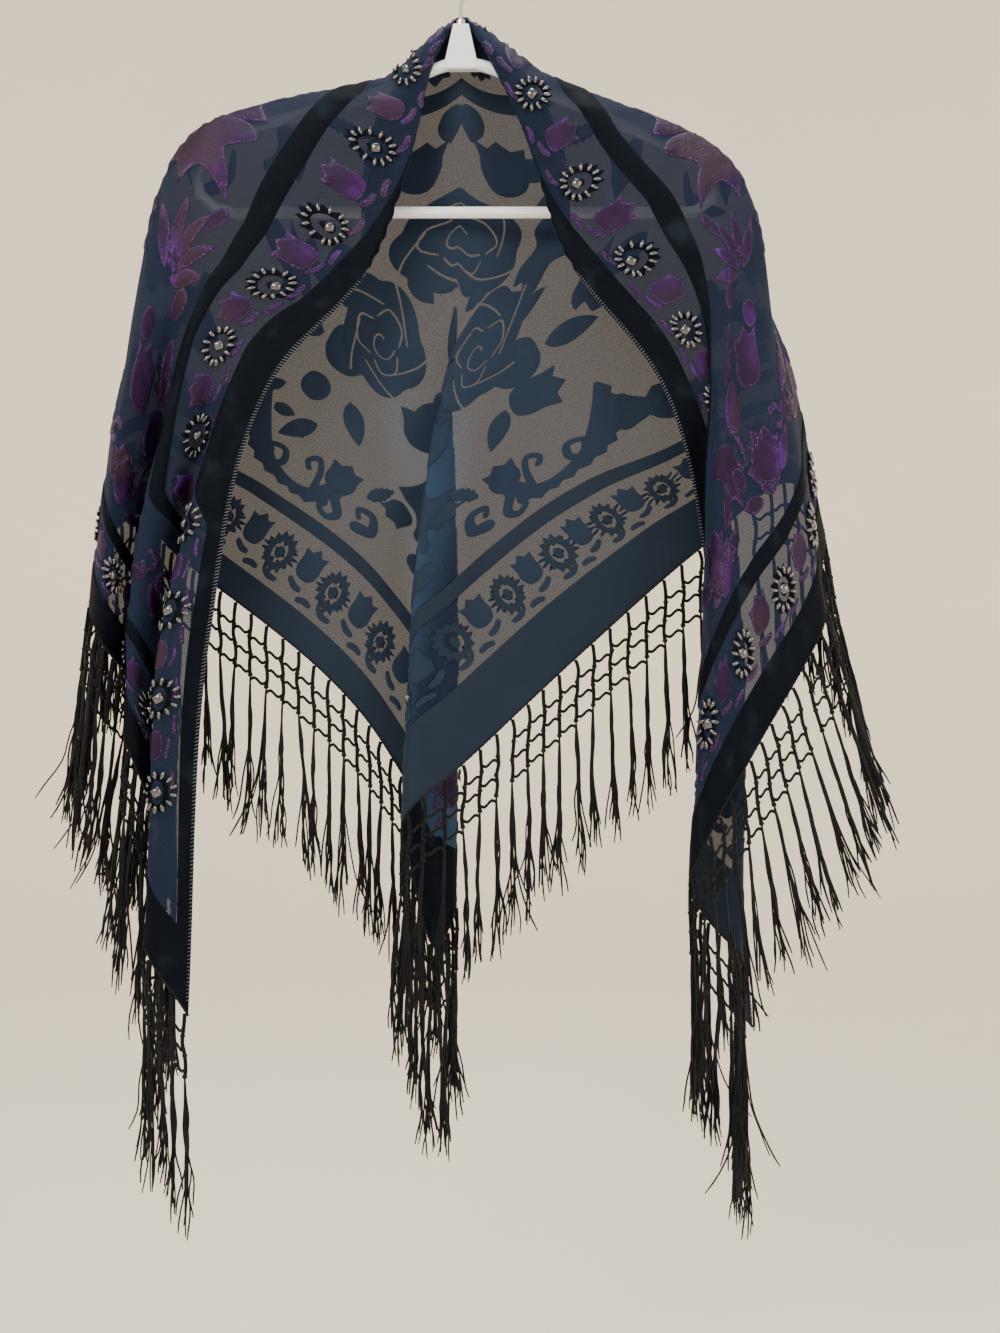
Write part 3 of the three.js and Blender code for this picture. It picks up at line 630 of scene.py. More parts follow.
def field_cells():
    """The larger motifs of the field, on one half of the cloth or on both, and the three roses."""
    shapes = {
        "leaf": [leaf(40, 18)],
        "disc": [ring([(0, -10), (8, -5), (10, 3), (4, 10), (-5, 9), (-10, 2), (-8, -6)])],
        "tulip": [TULIP],
        "trumpet": [TRUMPET],
        "bud": [BUD],
        "toothed": [leaf(52, 22, 6, 0.32)],
        "lily": [LILY, strip([(-20, 30), (-8, 38), (8, 38), (20, 33)], (3, 6, 7, 3))],
        "butterfly": [BUTTERFLY],
        "fan": [turn(leaf(46 - 3 * abs(k - 2), 12) + (0, 6), 28 * (k - 2)) for k in range(5)],
    }
    cells = []
    for kind, s, t, angle, scale, side in FIELD:
        for half in (-1, 1) if side == 0 else (side,):
            for shape in shapes[kind]:
                p = turn(shape, angle, scale)
                p = np.stack([half * (s + p[:, 0]), t + p[:, 1]], axis=1)
                if drawn_room(p).min() > BORDER + FIELD_CLEAR:
                    cells.append((p, VELVET))
    for s, t, rx, ry in ((2, 203, 50, 29), (60, 262, 30, 42), (-64, 262, 31, 43)):
        cells += [(shape + (s, t), kind) for shape, kind in rose(rx, ry)]
    return cells


def inset_triangle(v):
    """The cloth's outline, drawn in by v."""
    half = HALF_LENGTH - v * (1 + LEG[0]) / LEG_IN[0]
    return np.array([(-half, v), (half, v), (0, DEPTH - v / LEG[0])])


def inside(points, outline):
    """Which points lie inside a closed outline."""
    x, y = points[:, 0], points[:, 1]
    hit = np.zeros(len(points), bool)
    x0, y0 = outline[-1]
    for x1, y1 in outline:
        if y0 != y1:
            hit ^= ((y0 > y) != (y1 > y)) & (x < (x1 - x0) * (y - y0) / (y1 - y0) + x0)
        x0, y0 = x1, y1
    return hit


def sides(outline, step):
    """Points along a closed outline at about one step apart, on straight runs as well."""
    out = []
    for a, b in zip(outline, np.roll(outline, -1, axis=0)):
        n = max(1, int(round(np.linalg.norm(b - a) / step)))
        out += [a + (b - a) * k / n for k in range(n)]
    return np.array(out)


def thin(outline, step):
    """The same outline without points closer together than half a step."""
    keep = [outline[0]]
    for p in outline[1:]:
        if np.linalg.norm(p - keep[-1]) > step * 0.5:
            keep.append(p)
    if len(keep) > 3 and np.linalg.norm(keep[0] - keep[-1]) < step * 0.5:
        keep.pop()
    return np.array(keep)


def inset_points(outline, depth):
    """Points just inside an outline."""
    after = np.roll(outline, -1, axis=0)
    way = unit(after - np.roll(outline, 1, axis=0))
    normal = np.stack([-way[:, 1], way[:, 0]], axis=1)
    if np.sum(outline[:, 0] * after[:, 1] - outline[:, 1] * after[:, 0]) < 0:
        normal = -normal
    moved = outline + normal * depth
    return moved[inside(moved, outline)]


def even_grid():
    """Rows of points all over the flat cloth, every other row moved by half a step."""
    rows = []
    t = EDGE_CLEAR
    while t < DEPTH - EDGE_CLEAR:
        half = (1 - t / DEPTH) * HALF_LENGTH - EDGE_CLEAR
        s = np.arange(-math.floor(half / GRID_STEP) * GRID_STEP, half, GRID_STEP) + len(rows) % 2 * GRID_STEP / 2
        s = s[np.abs(s) < half]
        rows.append(np.stack([s, np.full(len(s), t)], axis=1))
        t += GRID_ROW
    return np.concatenate(rows)


def cloud(points):
    tree = KDTree(len(points))
    for k, p in enumerate(points):
        tree.insert((p[0], p[1], 0), k)
    tree.balance()
    return tree


def nearest(tree, points):
    return np.array([tree.find((p[0], p[1], 0))[2] for p in points])


def spaced(points, fixed):
    """Those of the points that keep clear of the fixed ones and of one another."""
    points = points[nearest(fixed, points) > LINE_CLEAR]
    own = cloud(points)
    used = np.zeros(len(points), bool)
    keep = []
    for k, p in enumerate(points):
        if used[k]:
            continue
        keep.append(k)
        for _, j, _ in own.find_range((p[0], p[1], 0), POINT_CLEAR):
            if j > k:
                used[j] = True
    return points[keep]


def cut_lines(cells):
    """Points and edges that the mesh of the flat cloth has to follow, and loose points beside them."""
    points = []
    edges = []
    for outline in [sides(inset_triangle(0), LINE_STEP)] + [outline for outline, _ in cells]:
        first, n = len(points), len(outline)
        points += [tuple(p) for p in outline]
        edges += [(first + k, first + (k + 1) % n) for k in range(n)]
    beside = [inset_points(outline, PILE_EDGE) for outline, _ in cells]
    for edge in EDGES:
        along = np.arange(-820, 821, LINE_STEP) if edge == "top" else np.arange(10, SIDE - 5, LINE_STEP)
        for v in (WIDE_BAND, STRIP_END, BORDER):
            line = on_edge(edge, along, v)
            line = line[drawn_room(line, edge) >= v]
            first = len(points)
            points += [tuple(p) for p in line]
            edges += [(first + k, first + k + 1) for k in range(len(line) - 1)
                      if np.linalg.norm(line[k + 1] - line[k]) < 3 * LINE_STEP]
        for v in (WIDE_BAND - BAND_EDGE, STRIP_END + BAND_EDGE, BORDER - BAND_EDGE):
            line = on_edge(edge, along, v)
            beside.append(line[drawn_room(line, edge) >= v])
    beside.append(sides(inset_triangle(PILE_EDGE), LINE_STEP))
    return points, edges, np.concatenate(beside)


def cut_cloth():
    """Flat triangles of the cloth: places, faces, what each face is, depth in its cell, and the bursts."""
    border, bursts = border_cells()
    cells = [(thin(sides(outline, 2.6), 2.2), kind) for outline, kind in border + scroll_cells() + field_cells()]
    points, edges, beside = cut_lines(cells)
    fixed = cloud(points)
    loose = spaced(np.concatenate([beside, even_grid()]), fixed)
    every = [Vector(p) for p in points] + [Vector((p[0], p[1])) for p in loose]
    verts, _, faces, _, _, _ = delaunay_2d_cdt(every, edges, [], 0, 1e-4)
    flat = np.array([(v.x, v.y) for v in verts])
    faces = np.array(faces)
    a, b, c = (flat[faces[:, k]] for k in range(3))
    turned = (b[:, 0] - a[:, 0]) * (c[:, 1] - a[:, 1]) - (b[:, 1] - a[:, 1]) * (c[:, 0] - a[:, 0])
    centre = flat[faces].mean(axis=1)
    ok = (edge_room(centre) > 0) & (np.abs(turned) > 1e-5)
    faces, centre, turned = faces[ok], centre[ok], turned[ok]
    faces[turned < 0] = faces[turned < 0][:, ::-1]
    drawn = drawn_room(centre)
    what = np.where((drawn < WIDE_BAND) | ((drawn > STRIP_END) & (drawn < BORDER)), BAND, GROUND)
    for outline, kind in cells:
        low, high = outline.min(axis=0), outline.max(axis=0)
        near = np.nonzero(np.all((centre > low) & (centre < high), axis=1))[0]
        what[near[inside(centre[near], outline)]] = kind
    return flat, faces, what, nearest(fixed, flat), bursts


class Wire:
    """A shader socket that can be added, multiplied and compared in Python."""

    def __init__(self, shader, socket):
        self.shader = shader
        self.socket = socket

    def _two(self, operation, other, swap=False):
        a, b = (other, self) if swap else (self, other)
        return self.shader.node("Math", {"operation": operation}, {0: a, 1: b})

    def __add__(self, other):
        return self._two("ADD", other)

    def __radd__(self, other):
        return self._two("ADD", other, True)

    def __sub__(self, other):
        return self._two("SUBTRACT", other)

    def __rsub__(self, other):
        return self._two("SUBTRACT", other, True)

    def __mul__(self, other):
        return self._two("MULTIPLY", other)

    def __rmul__(self, other):
        return self._two("MULTIPLY", other, True)

    def absolute(self):
        return self.shader.node("Math", {"operation": "ABSOLUTE"}, {0: self})

    def sine(self):
        return self.shader.node("Math", {"operation": "SINE"}, {0: self})

    def ramp(self, low, high):
        """0 below low, 1 above high, smooth between."""
        return self.shader.node("MapRange", {"interpolation_type": "SMOOTHSTEP"}, {0: self, 1: low, 2: high},
                                "Result")


class Shader:
    """A new material and its Principled node."""

    def __init__(self, name, **uniform):
        self.material = bpy.data.materials.new(name)
        self.material.use_nodes = True
        self.tree = self.material.node_tree
        self.main = self.tree.nodes["Principled BSDF"]
        for key, value in uniform.items():
            self.set(key.replace("_", " "), value)

    def node(self, kind, settings, inputs, output=0):
        node = self.tree.nodes.new("ShaderNode" + kind)
        for key, value in settings.items():
            setattr(node, key, value)
        for key, value in inputs.items():
            self.plug(node.inputs[key], value)
        return Wire(self, node.outputs[output])

    def plug(self, socket, value):
        if isinstance(value, Wire):
            self.tree.links.new(value.socket, socket)
        elif hasattr(value, "__len__") and len(value) == 3 and socket.type == "RGBA":
            socket.default_value = (*value, 1.0)
        else:
            socket.default_value = value

    def set(self, name, value):
        self.plug(self.main.inputs[name], value)

    def uv(self):
        return self.node("UVMap", {"uv_map": "flat"}, {})

    def split(self, vector, part):
        return self.node("SeparateXYZ", {}, {0: vector}, part)

    def noise(self, vector, scale, detail=2.0, rough=0.5):
        return self.node("TexNoise", {}, {"Vector": vector, "Scale": scale, "Detail": detail, "Roughness": rough})

    def mix(self, factor, a, b):
        return self.node("Mix", {"data_type": "RGBA"}, {0: factor, 6: a, 7: b}, 2)

    def attribute(self, name):
        return self.node("Attribute", {"attribute_name": name}, {}, "Fac")

    def bump(self, height, distance, strength=1.0):
        return self.node("Bump", {}, {"Height": height, "Distance": distance, "Strength": strength}, "Normal")

    def position(self):
        return self.node("TexCoord", {}, {}, "Object")


def weave_height(shader, uv, threads):
    """Fine plain weave: two sets of threads, in metres of flat cloth."""
    across = (shader.split(uv, 0) * threads).sine()
    along = (shader.split(uv, 1) * threads).sine()
    return across * along


def ground_material():
    """Sheer crepe, slate blue, through which what lies behind shows."""
    sh = Shader("ground crepe", Roughness=0.7, IOR=1.45, Specular_IOR_Level=0.12, Sheen_Weight=0.06,
                Sheen_Roughness=0.5, Sheen_Tint=(0.45, 0.60, 0.90))
    uv = sh.uv()
    cloudy = sh.noise(uv, 14.0, 3.0)
    fine = sh.noise(uv, 900.0, 2.0)
    base = sh.mix(cloudy, (0.0045, 0.009, 0.024), (0.008, 0.0145, 0.036))
    s_at, t_at = sh.split(uv, 0), sh.split(uv, 1)
    # Painted light: lighter blue where the cloth is folded double at the middle of the back
    fold = (1.0 - (s_at * s_at).ramp(0.0016, 0.0075)) * t_at.ramp(0.26, 0.40)
    sh.set("Base Color", sh.mix(fold * 0.85, base, (0.022, 0.050, 0.100)))
    # Sheerer over the shoulders and the fronts
    aside = s_at.absolute()
    front = (aside - t_at * 1.57).ramp(-0.06, 0.02) * (1.0 - (aside * 1.205 + t_at * 1.37).ramp(0.47, 0.56))
    sh.set("Alpha", 0.85 + fine * 0.13 - front * 0.15)
    sh.set("Normal", sh.bump(weave_height(sh, uv, 5200.0) * 0.5 + fine, 0.0003, 0.5))
    return sh.material


def velvet_material():
    """Purple pile with dark hearts, brown clouds, painted sheen in brighter purple clouds, painted highlights on
    the rims and a dark outline.
    """
    sh = Shader("velvet right side", IOR=1.5, Specular_IOR_Level=0.30, Specular_Tint=(0.80, 0.50, 1.0),
                Sheen_Weight=0.03, Sheen_Roughness=0.3, Sheen_Tint=(0.60, 0.25, 0.85))
    uv = sh.uv()
    depth = sh.attribute("depth")
    cloudy = sh.noise(uv, 30.0, 3.0)
    patch = sh.noise(uv, 11.0, 1.0)
    pile = sh.noise(uv, 700.0, 3.0, 0.6)
    # Painted highlight: a band just inside each motif's edge, lit with lavender below and also made glossier
    rim_highlight = depth.ramp(0.3, 0.8) * (1.0 - depth.ramp(0.9, 1.9))
    base = sh.mix(cloudy.ramp(0.36, 0.66), (0.003, 0.0006, 0.008), (0.011, 0.0012, 0.026))
    # Painted sheen: brighter purple clouds stand in for the light thrown back by the pile
    base = sh.mix(cloudy.ramp(0.55, 0.72), base, (0.038, 0.005, 0.092))
    base = sh.mix(patch.ramp(0.54, 0.66) * 0.75, base, (0.019, 0.011, 0.010))
    # Painted highlight: light lavender specks on the rims of the motifs
    base = sh.mix(rim_highlight * pile.ramp(0.46, 0.70) * 0.8, base, (0.15, 0.08, 0.31))
    base = sh.mix((1.0 - depth.ramp(0.1, 0.6)) * 0.9, base, (0.004, 0.004, 0.008))
    sh.set("Base Color", base)
    sh.set("Roughness", 0.38 - rim_highlight * 0.16 + pile * 0.14)
    sh.set("Normal", sh.bump(pile + cloudy * 5.0, 0.0011, 0.8))
    return sh.material


def reverse_material(name, dark, light):
    """The flat back of the velvet, slate blue."""
    sh = Shader(name, Roughness=0.75, IOR=1.45, Specular_IOR_Level=0.2, Sheen_Weight=0.08, Sheen_Roughness=0.5,
                Sheen_Tint=(0.5, 0.6, 0.8))
    uv = sh.uv()
    cloudy = sh.noise(uv, 16.0, 3.0)
    fine = sh.noise(uv, 800.0, 2.0)
    sh.set("Base Color", sh.mix(cloudy, dark, light))
    sh.set("Normal", sh.bump(weave_height(sh, uv, 4800.0) * 0.5 + fine, 0.0003, 0.5))
    return sh.material


def band_material():
    """Plain velvet band, black with satin lights where it bends, and painted satin highlights in lighter blue
    clouds.
    """
    sh = Shader("velvet band", IOR=1.5, Specular_IOR_Level=0.10, Specular_Tint=(0.5, 0.68, 1.0),
                Sheen_Weight=0.02, Sheen_Roughness=0.2, Sheen_Tint=(0.42, 0.55, 0.72))
    uv = sh.uv()
    cloudy = sh.noise(uv, 34.0, 3.0)
    pile = sh.noise(uv, 620.0, 3.0, 0.6)
    # Painted highlight: the lighter blue clouds stand in for satin lights on the pile
    base = sh.mix(cloudy.ramp(0.52, 0.78), (0.0012, 0.0014, 0.0024), (0.007, 0.010, 0.016))
    sh.set("Base Color", base)
    sh.set("Roughness", 0.50 + pile * 0.25)
    sh.set("Normal", sh.bump(pile + cloudy * 2.0, 0.0007, 0.6))
    return sh.material


def speckled(name, scale, detail, dark, light, rough=None, **uniform):
    """A material of two colours in specks, and roughness from the first value by the second with them."""
    sh = Shader(name, **uniform)
    speck = sh.noise(sh.position(), scale, detail)
    sh.set("Base Color", sh.mix(speck, dark, light))
    if rough:
        sh.set("Roughness", rough[0] + speck * rough[1])
    return sh


def yarn_material():
    return speckled("fringe yarn", 260.0, 2.0, (0.0014, 0.0014, 0.0022), (0.0055, 0.006, 0.009), (0.42, 0.3),
                    IOR=1.5, Specular_IOR_Level=0.16, Sheen_Weight=0.02, Sheen_Tint=(0.4, 0.45, 0.6)).material


def glass_material():
    return speckled("jet glass", 120.0, 2.0, (0.006, 0.006, 0.009), (0.045, 0.046, 0.060),
                    Roughness=0.10, IOR=1.7, Coat_Weight=1.0, Coat_Roughness=0.03).material


def thread_material():
    return speckled("overlock thread", 300.0, 2.0, (0.030, 0.040, 0.062), (0.085, 0.10, 0.14),
                    Roughness=0.6, Sheen_Weight=0.3).material


def plastic_material():
    sh = speckled("white plastic", 30.0, 3.0, (0.74, 0.76, 0.80), (0.84, 0.85, 0.88), (0.34, 0.12),
                  IOR=1.49, Subsurface_Weight=0.08)
    sh.set("Normal", sh.bump(sh.noise(sh.position(), 900.0, 2.0), 0.0002, 0.25))
    return sh.material


def steel_material():
    return speckled("hook steel", 500.0, 3.0, (0.50, 0.51, 0.53), (0.66, 0.67, 0.69), (0.22, 0.14),
                    Metallic=1.0, IOR=2.5).material


def paper_material():
    sh = speckled("pale paper", 3.0, 2.0, (0.74, 0.665, 0.53), (0.79, 0.71, 0.575),
                  Roughness=0.9, Emission_Strength=0.38)
    sh.set("Emission Color", (0.80, 0.74, 0.63))
    return sh.material


def mesh_piece(name, verts, faces, materials, what=None, uv=None, depth=None, flat_shade=False):
    """A mesh object from arrays; verts in metres."""
    mesh = bpy.data.meshes.new(name)
    faces = np.asarray(faces, np.int32)
    size = faces.shape[1]
    mesh.vertices.add(len(verts))
    mesh.vertices.foreach_set("co", np.asarray(verts, np.float32).ravel())
    mesh.loops.add(faces.size)
    mesh.loops.foreach_set("vertex_index", faces.ravel())
    mesh.polygons.add(len(faces))
    mesh.polygons.foreach_set("loop_start", np.arange(0, faces.size, size, dtype=np.int32))
    mesh.update(calc_edges=True)
    for m in materials:
        mesh.materials.append(m)
    if what is not None:
        mesh.polygons.foreach_set("material_index", np.asarray(what, np.int32))
    if not flat_shade:
        mesh.polygons.foreach_set("use_smooth", np.ones(len(faces), bool))
    if uv is not None:
        layer = mesh.uv_layers.new(name="flat")
        layer.data.foreach_set("uv", np.asarray(uv, np.float32)[faces.ravel()].ravel())
    if depth is not None:
        at = mesh.attributes.new("depth", "FLOAT", "POINT")
        at.data.foreach_set("value", np.asarray(depth, np.float32))
    mesh.validate()
    piece = bpy.data.objects.new(name, mesh)
    bpy.context.scene.collection.objects.link(piece)
    return piece


def tubes(paths, radius, corners=4):
    """Vertices and quads of many cords of the same number of points; radius may vary along."""
    paths = np.asarray(paths, float)
    n, m, _ = paths.shape
    way = unit(np.gradient(paths, axis=1))
    lean = np.abs(way[:, :, 2]).mean(axis=1)
    ref = np.where(lean[:, None, None] > 0.7, np.array([0, 1.0, 0]), np.array([0, 0, 1.0]))
    one = unit(np.cross(way, np.broadcast_to(ref, way.shape)))
    two = np.cross(way, one)
    radius = np.broadcast_to(np.asarray(radius, float), (n, m))
    rings = []
    for k in range(corners):
        a = 2 * math.pi * k / corners
        rings.append(paths + (one * math.cos(a) + two * math.sin(a)) * radius[:, :, None])
    verts = np.stack(rings, axis=2).reshape(-1, 3)
    base = (np.arange(n)[:, None, None] * m + np.arange(m - 1)[None, :, None]) * corners
    here = base + np.arange(corners)[None, None, :]
    beside = base + (np.arange(corners)[None, None, :] + 1) % corners
    return verts, np.stack([here, beside, corners + beside, corners + here], axis=-1).reshape(-1, 4)


def joined(parts):
    """One list of points and one of faces from many."""
    first = np.cumsum([0] + [len(v) for v, _ in parts])
    return np.concatenate([v for v, _ in parts]), np.concatenate([f + k for (_, f), k in zip(parts, first)])


def fringe_line(across, drop):
    """A point of the net or of a lock, in mm, for arrays of places across and drops."""
    across, drop = np.broadcast_arrays(np.asarray(across, float), np.asarray(drop, float))
    w = np.clip(across.ravel(), -1, 1)
    d = drop.ravel()[:, None]
    hem = drape(1.0, w)
    down = unit(hem - drape(0.985, w))
    along = unit(drape(1.0, np.clip(w + 0.004, -1, 1)) - drape(1.0, np.clip(w - 0.004, -1, 1)))
    out = unit(down - along * np.sum(down * along, axis=1, keepdims=True))
    corner_share, leaves_over = 0.03, 30.0
    corner = np.clip(1 - np.abs(w) / corner_share, 0, 1)[:, None]
    out = unit(out + (down - out) * corner)
    lean = smooth([row[0] for row in SWING], [row[1:] for row in SWING], w) / LOCK_DROP
    fall = unit(np.concatenate([lean, np.full((len(w), 1), -1.0)], axis=1))
    share = np.clip(d / leaves_over, 0, 1)
    place = hem + out * (SEAM * 2.2 + d * 0.25 * (1 - share)) + fall * d
    return place.reshape(across.shape + (3,))


def build_cloth(mats):
    """The shawl as one cloth: the right skin with all of it, and a second skin behind the velvet."""
    flat, faces, what, depth, bursts = cut_cloth()
    s, t = flat[:, 0], flat[:, 1]
    raised = np.zeros(len(flat), bool)
    raised[faces[what != GROUND].ravel()] = True
    rise = np.where(raised, np.clip(depth / PILE_EDGE, 0, 1), 0)
    uv = flat / 1000.0
    cloth = mesh_piece("shawl_cloth", lay(s, t, SKIN + PILE * rise), faces, mats[:3], what, uv, depth)
    solid = what != GROUND
    used = np.unique(faces[solid])
    order = np.full(len(flat), -1)
    order[used] = np.arange(len(used))
    back = lay(s[used], t[used], -REVERSE - REVERSE_SWELL * rise[used])
    reverse = mesh_piece("shawl_reverse", back, order[faces[solid]][:, ::-1], mats[3:5],
                         (what[solid] == BAND).astype(int), uv[used], depth[used])
    return cloth, reverse, bursts


def frame_at(s, t):
    """Place, right-side normal and the two flat directions on the hung cloth."""
    place = lay(s, t, BEAD_LIFT)
    normal = side_out(s, t)
    ways = [lay(s + ds, t + dt, BEAD_LIFT) - place for ds, dt in ((1.5, 0), (0, 1.5))]
    one, two = (unit(way - normal * np.sum(way * normal, axis=1, keepdims=True)) for way in ways)
    return place, normal, one, two


# The directions of a ring of six
SIXTHS = [math.pi * k / 3 for k in range(6)]


def pointed(tips, rings):
    """A closed shape of a tip, three rings of six points and a tip, as points and triangles."""
    points = [tips[0]] + [point for ring_points in rings for point in ring_points] + [tips[1]]
    tris = []
    for k in range(6):
        j = (k + 1) % 6
        tris += [(0, 1 + j, 1 + k), (19, 13 + k, 13 + j)]
        for b in (1, 7):
            tris += [(b + k, b + j, b + 6 + j), (b + k, b + 6 + j, b + 6 + k)]
    return np.array(points), np.array(tris)


def navette(long, wide, high):
    """A pointed glass bead that lies on the cloth."""
    rings = [[(math.cos(a) * wide / 2 * r, y * long, high / 2 + math.sin(a) * high / 2 * r) for a in SIXTHS]
             for y, r in ((-0.27, 0.72), (0.0, 1.0), (0.27, 0.72))]
    return pointed([(0, -long / 2, high / 2), (0, long / 2, high / 2)], rings)


def square_stone(wide, high):
    """A square faceted stone, as points and triangles."""
    w, u = wide / 2, wide / 3.6
    points = [(x, y, z) for half, z in ((w, 0), (w, high * 0.45), (u, high))
              for x, y in ((-half, -half), (half, -half), (half, half), (-half, half))]
    tris = [(8, 9, 10), (8, 10, 11)]
    for k in range(4):
        j = (k + 1) % 4
        for r in (0, 4):
            tris += [(r + k, r + j, r + 4 + j), (r + k, r + 4 + j, r + 4 + k)]
    return np.array(points), np.array(tris)


def build_beads(bursts, material):
    """A ring of pointed glass beads round a square stone on every burst."""
    parts = []
    bead = navette(7.8, 3.5, 2.6)
    stone = square_stone(7.2, 2.8)
    for n, (edge, u) in enumerate(bursts):
        centre = on_edge(edge, u, BURST_DEPTH)
        ring_of_beads = [(2 * math.pi * k / BEADS + 0.2 * (n % 3), BURST_RING, bead) for k in range(BEADS)]
        for angle, r, (shape, tris) in ring_of_beads + [(0.5, 0.0, stone)]:
            c, d = math.cos(angle), math.sin(angle)
            at = centre + np.array([-d, c]) * r
            place, normal, one, two = frame_at(at[:1], at[1:])
            x, y, z = shape[:, 0:1], shape[:, 1:2], shape[:, 2:3]
            parts.append((place + (one * (x * c - y * d) + two * (x * d + y * c) + normal * z) / 1000, tris))
    verts, faces = joined(parts)
    return mesh_piece("glass_beads", verts, faces, [material], flat_shade=True)


def build_stitches(material):
    """Overlock stitches round the long edge, seen from both sides."""
    s = np.arange(-818, 819, 2.6)
    loop = [(0.0, 3.2, 1.1), (0.5, 0.6, 1.3), (0.9, 0.02, 0.1), (1.4, 0.6, -1.0), (2.0, 3.4, -0.9)]
    paths = np.stack([lay(s + ds, t, up) for ds, t, up in loop], axis=1)
    verts, faces = tubes(paths, 0.00042, 3)
    return mesh_piece("edge_stitches", verts, faces, [material])


def build_hem_cord(material):
    """The twisted cord in the fringed edges, which the net is knotted to."""
    inset, wind = 0.9985, 0.9
    u = np.arange(0, SIDE + 1, 2.2)
    parts = []
    for phase in (0, math.pi):
        turned = u * wind + phase
        for sign in (-1, 1):
            across = sign * (1 - u / SIDE)
            s = across * HALF_LENGTH * inset
            t = (1 - np.abs(across)) * DEPTH * inset + wind * np.sin(turned) * 0.7
            parts.append(tubes(lay(s, t, wind * np.cos(turned))[None], 0.00085, 5))
    verts, faces = joined(parts)
    return mesh_piece("hem_cord", verts, faces, [material])


def knots_at(places, radius):
    """A knot at every place, as points and triangles."""
    rings = [[(r * math.cos(a), r * math.sin(a), z) for a in SIXTHS]
             for z, r in ((-0.55, 0.85), (0.15, 1.0), (0.75, 0.7))]
    points, tris = pointed([(0, 0, -1), (0, 0, 1)], rings)
    verts = places[:, None, :] + (points * radius)[None]
    faces = tris[None] + (np.arange(len(places)) * len(points))[:, None, None]
    return verts.reshape(-1, 3), faces.reshape(-1, 3)


def twin(paths, apart, radius):
    """Two cords side by side along each path; paths and distance in mm, radius in metres."""
    return [tubes((paths + sign * np.array(apart)) / 1000, radius) for sign in (-1, 1)]


def net(columns, rng):
    """Three rows of the knotted net: its cords and its knots."""
    pitch = LOCK_PITCH / SIDE
    row_drop = NET_DROP / 3
    steepest, slack, wave = 13, 0.85, 2.2
    cords = []
    knots = []
    for row in range(3):
        end = row_drop * (row + 1)
        steps = np.linspace(0, 1, 6)
        sway = rng.uniform(-0.10, 0.10, len(columns))[:, None] * pitch * np.sin(steps * math.pi)
        cords += twin(fringe_line(columns[:, None] + sway, row_drop * (row + steps[None])), (0.7, 0.21, 0), 0.00078)
        link = columns[:-1]
        steps = np.linspace(0, 1, 8)
        ends = fringe_line(np.stack([link, link + pitch], axis=1), np.full((len(link), 2), end))
        drop = np.clip(ends[:, 1, 2] - ends[:, 0, 2], -steepest, steepest)[:, None]
        curve = end + drop * (steps - 0.5) * slack + wave * np.sin(steps * 2 * math.pi) * np.sign(drop)
        curve = curve + rng.uniform(-0.8, 0.8, len(link))[:, None]
        cords += twin(fringe_line(link[:, None] + pitch * steps[None], curve), (0, 0.24, 0.6), 0.0007)
        knots.append(knots_at(fringe_line(columns, np.full(len(columns), end)) / 1000, 0.0021))
    return cords, knots


def locks(columns, rng):
    """The loose yarns below the net, tight at the top and open at their ends, a few of them astray."""
    n = len(columns)
    count = n * YARNS
    steps = np.linspace(0, 1, 15)[None]
    shortest, longest = 0.72, 0.96
    stray_share, stray_reach = 0.07, 4.5
    tip_from, yarn_radius, tip_radius = 0.93, 0.68, 0.46
    lengths = (LOCK_DROP - NET_DROP) * rng.uniform(shortest, longest, count)
    lengths += np.repeat(5 * np.sin(2.4 * np.arange(n)), YARNS)
    angle = rng.uniform(0, 2 * math.pi, count)[:, None]
    spread = (rng.uniform(0.2, 1.0, count) ** 0.7 * 1.7)[:, None]
    centre = fringe_line(np.repeat(columns, YARNS)[:, None], NET_DROP + lengths[:, None] * steps)
    open_out = np.clip(steps * 5, 0, 1) ** 0.7 * (0.7 + 2.4 * np.clip((steps - 0.45) / 0.55, 0, 1) ** 1.6)
    wave = rng.uniform(3.5, 8.5, count)[:, None] * steps * 2 + rng.uniform(0, 6.28, count)[:, None]
    size = rng.uniform(0.3, 1.3, count)[:, None] * (np.clip(steps * 3, 0, 1) * (0.5 + steps))
    stray = np.where(rng.uniform(0, 1, count) < stray_share, stray_reach, 1.0)
    bend = (rng.normal(0, 3.0, count) * stray)[:, None] * steps ** 3
    bend = bend + np.repeat(rng.normal(0, 2.0, n), YARNS)[:, None] * np.sin(steps * 2.2)
    aside = np.cos(angle) * spread * open_out + size * np.sin(wave) + bend
    deep = np.sin(angle) * spread * open_out * 0.55 + size * np.cos(wave * 0.8)
    paths = centre + np.stack([aside, deep, np.zeros_like(aside)], axis=-1)
    thick = np.where(steps < tip_from, yarn_radius, tip_radius) * rng.uniform(0.8, 1.1, count)[:, None]
    return tubes(paths / 1000, thick / 1000)


def build_fringe(name, low, high, material, rng):
    """The knotted net of one stretch of hem and the loose yarns below it."""
    count = int(2 * SIDE / LOCK_PITCH) + 1
    columns = -1 + (np.arange(count) + 0.25) * LOCK_PITCH / SIDE
    columns = columns[(columns >= low) & (columns < high)]
    cords, knots = net(columns, rng)
    pieces = [mesh_piece(name + "_strands", *joined(cords + [locks(columns, rng)]), [material]),
              mesh_piece(name + "_knots", *joined(knots), [material])]
    for piece in pieces:
        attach(piece, "root")
    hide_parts(name)
    return pieces


def area_light(name, place, aim, size, power, colour):
    """A soft rectangular studio light that points at aim."""
    data = bpy.data.lights.new(name, "AREA")
    data.shape = "RECTANGLE"
    data.size, data.size_y = size
    data.energy = power
    data.color = colour
    light = bpy.data.objects.new(name, data)
    light.location = place
    light.rotation_euler = (Vector(aim) - Vector(place)).to_track_quat("-Z", "Y").to_euler()
    bpy.context.scene.collection.objects.link(light)


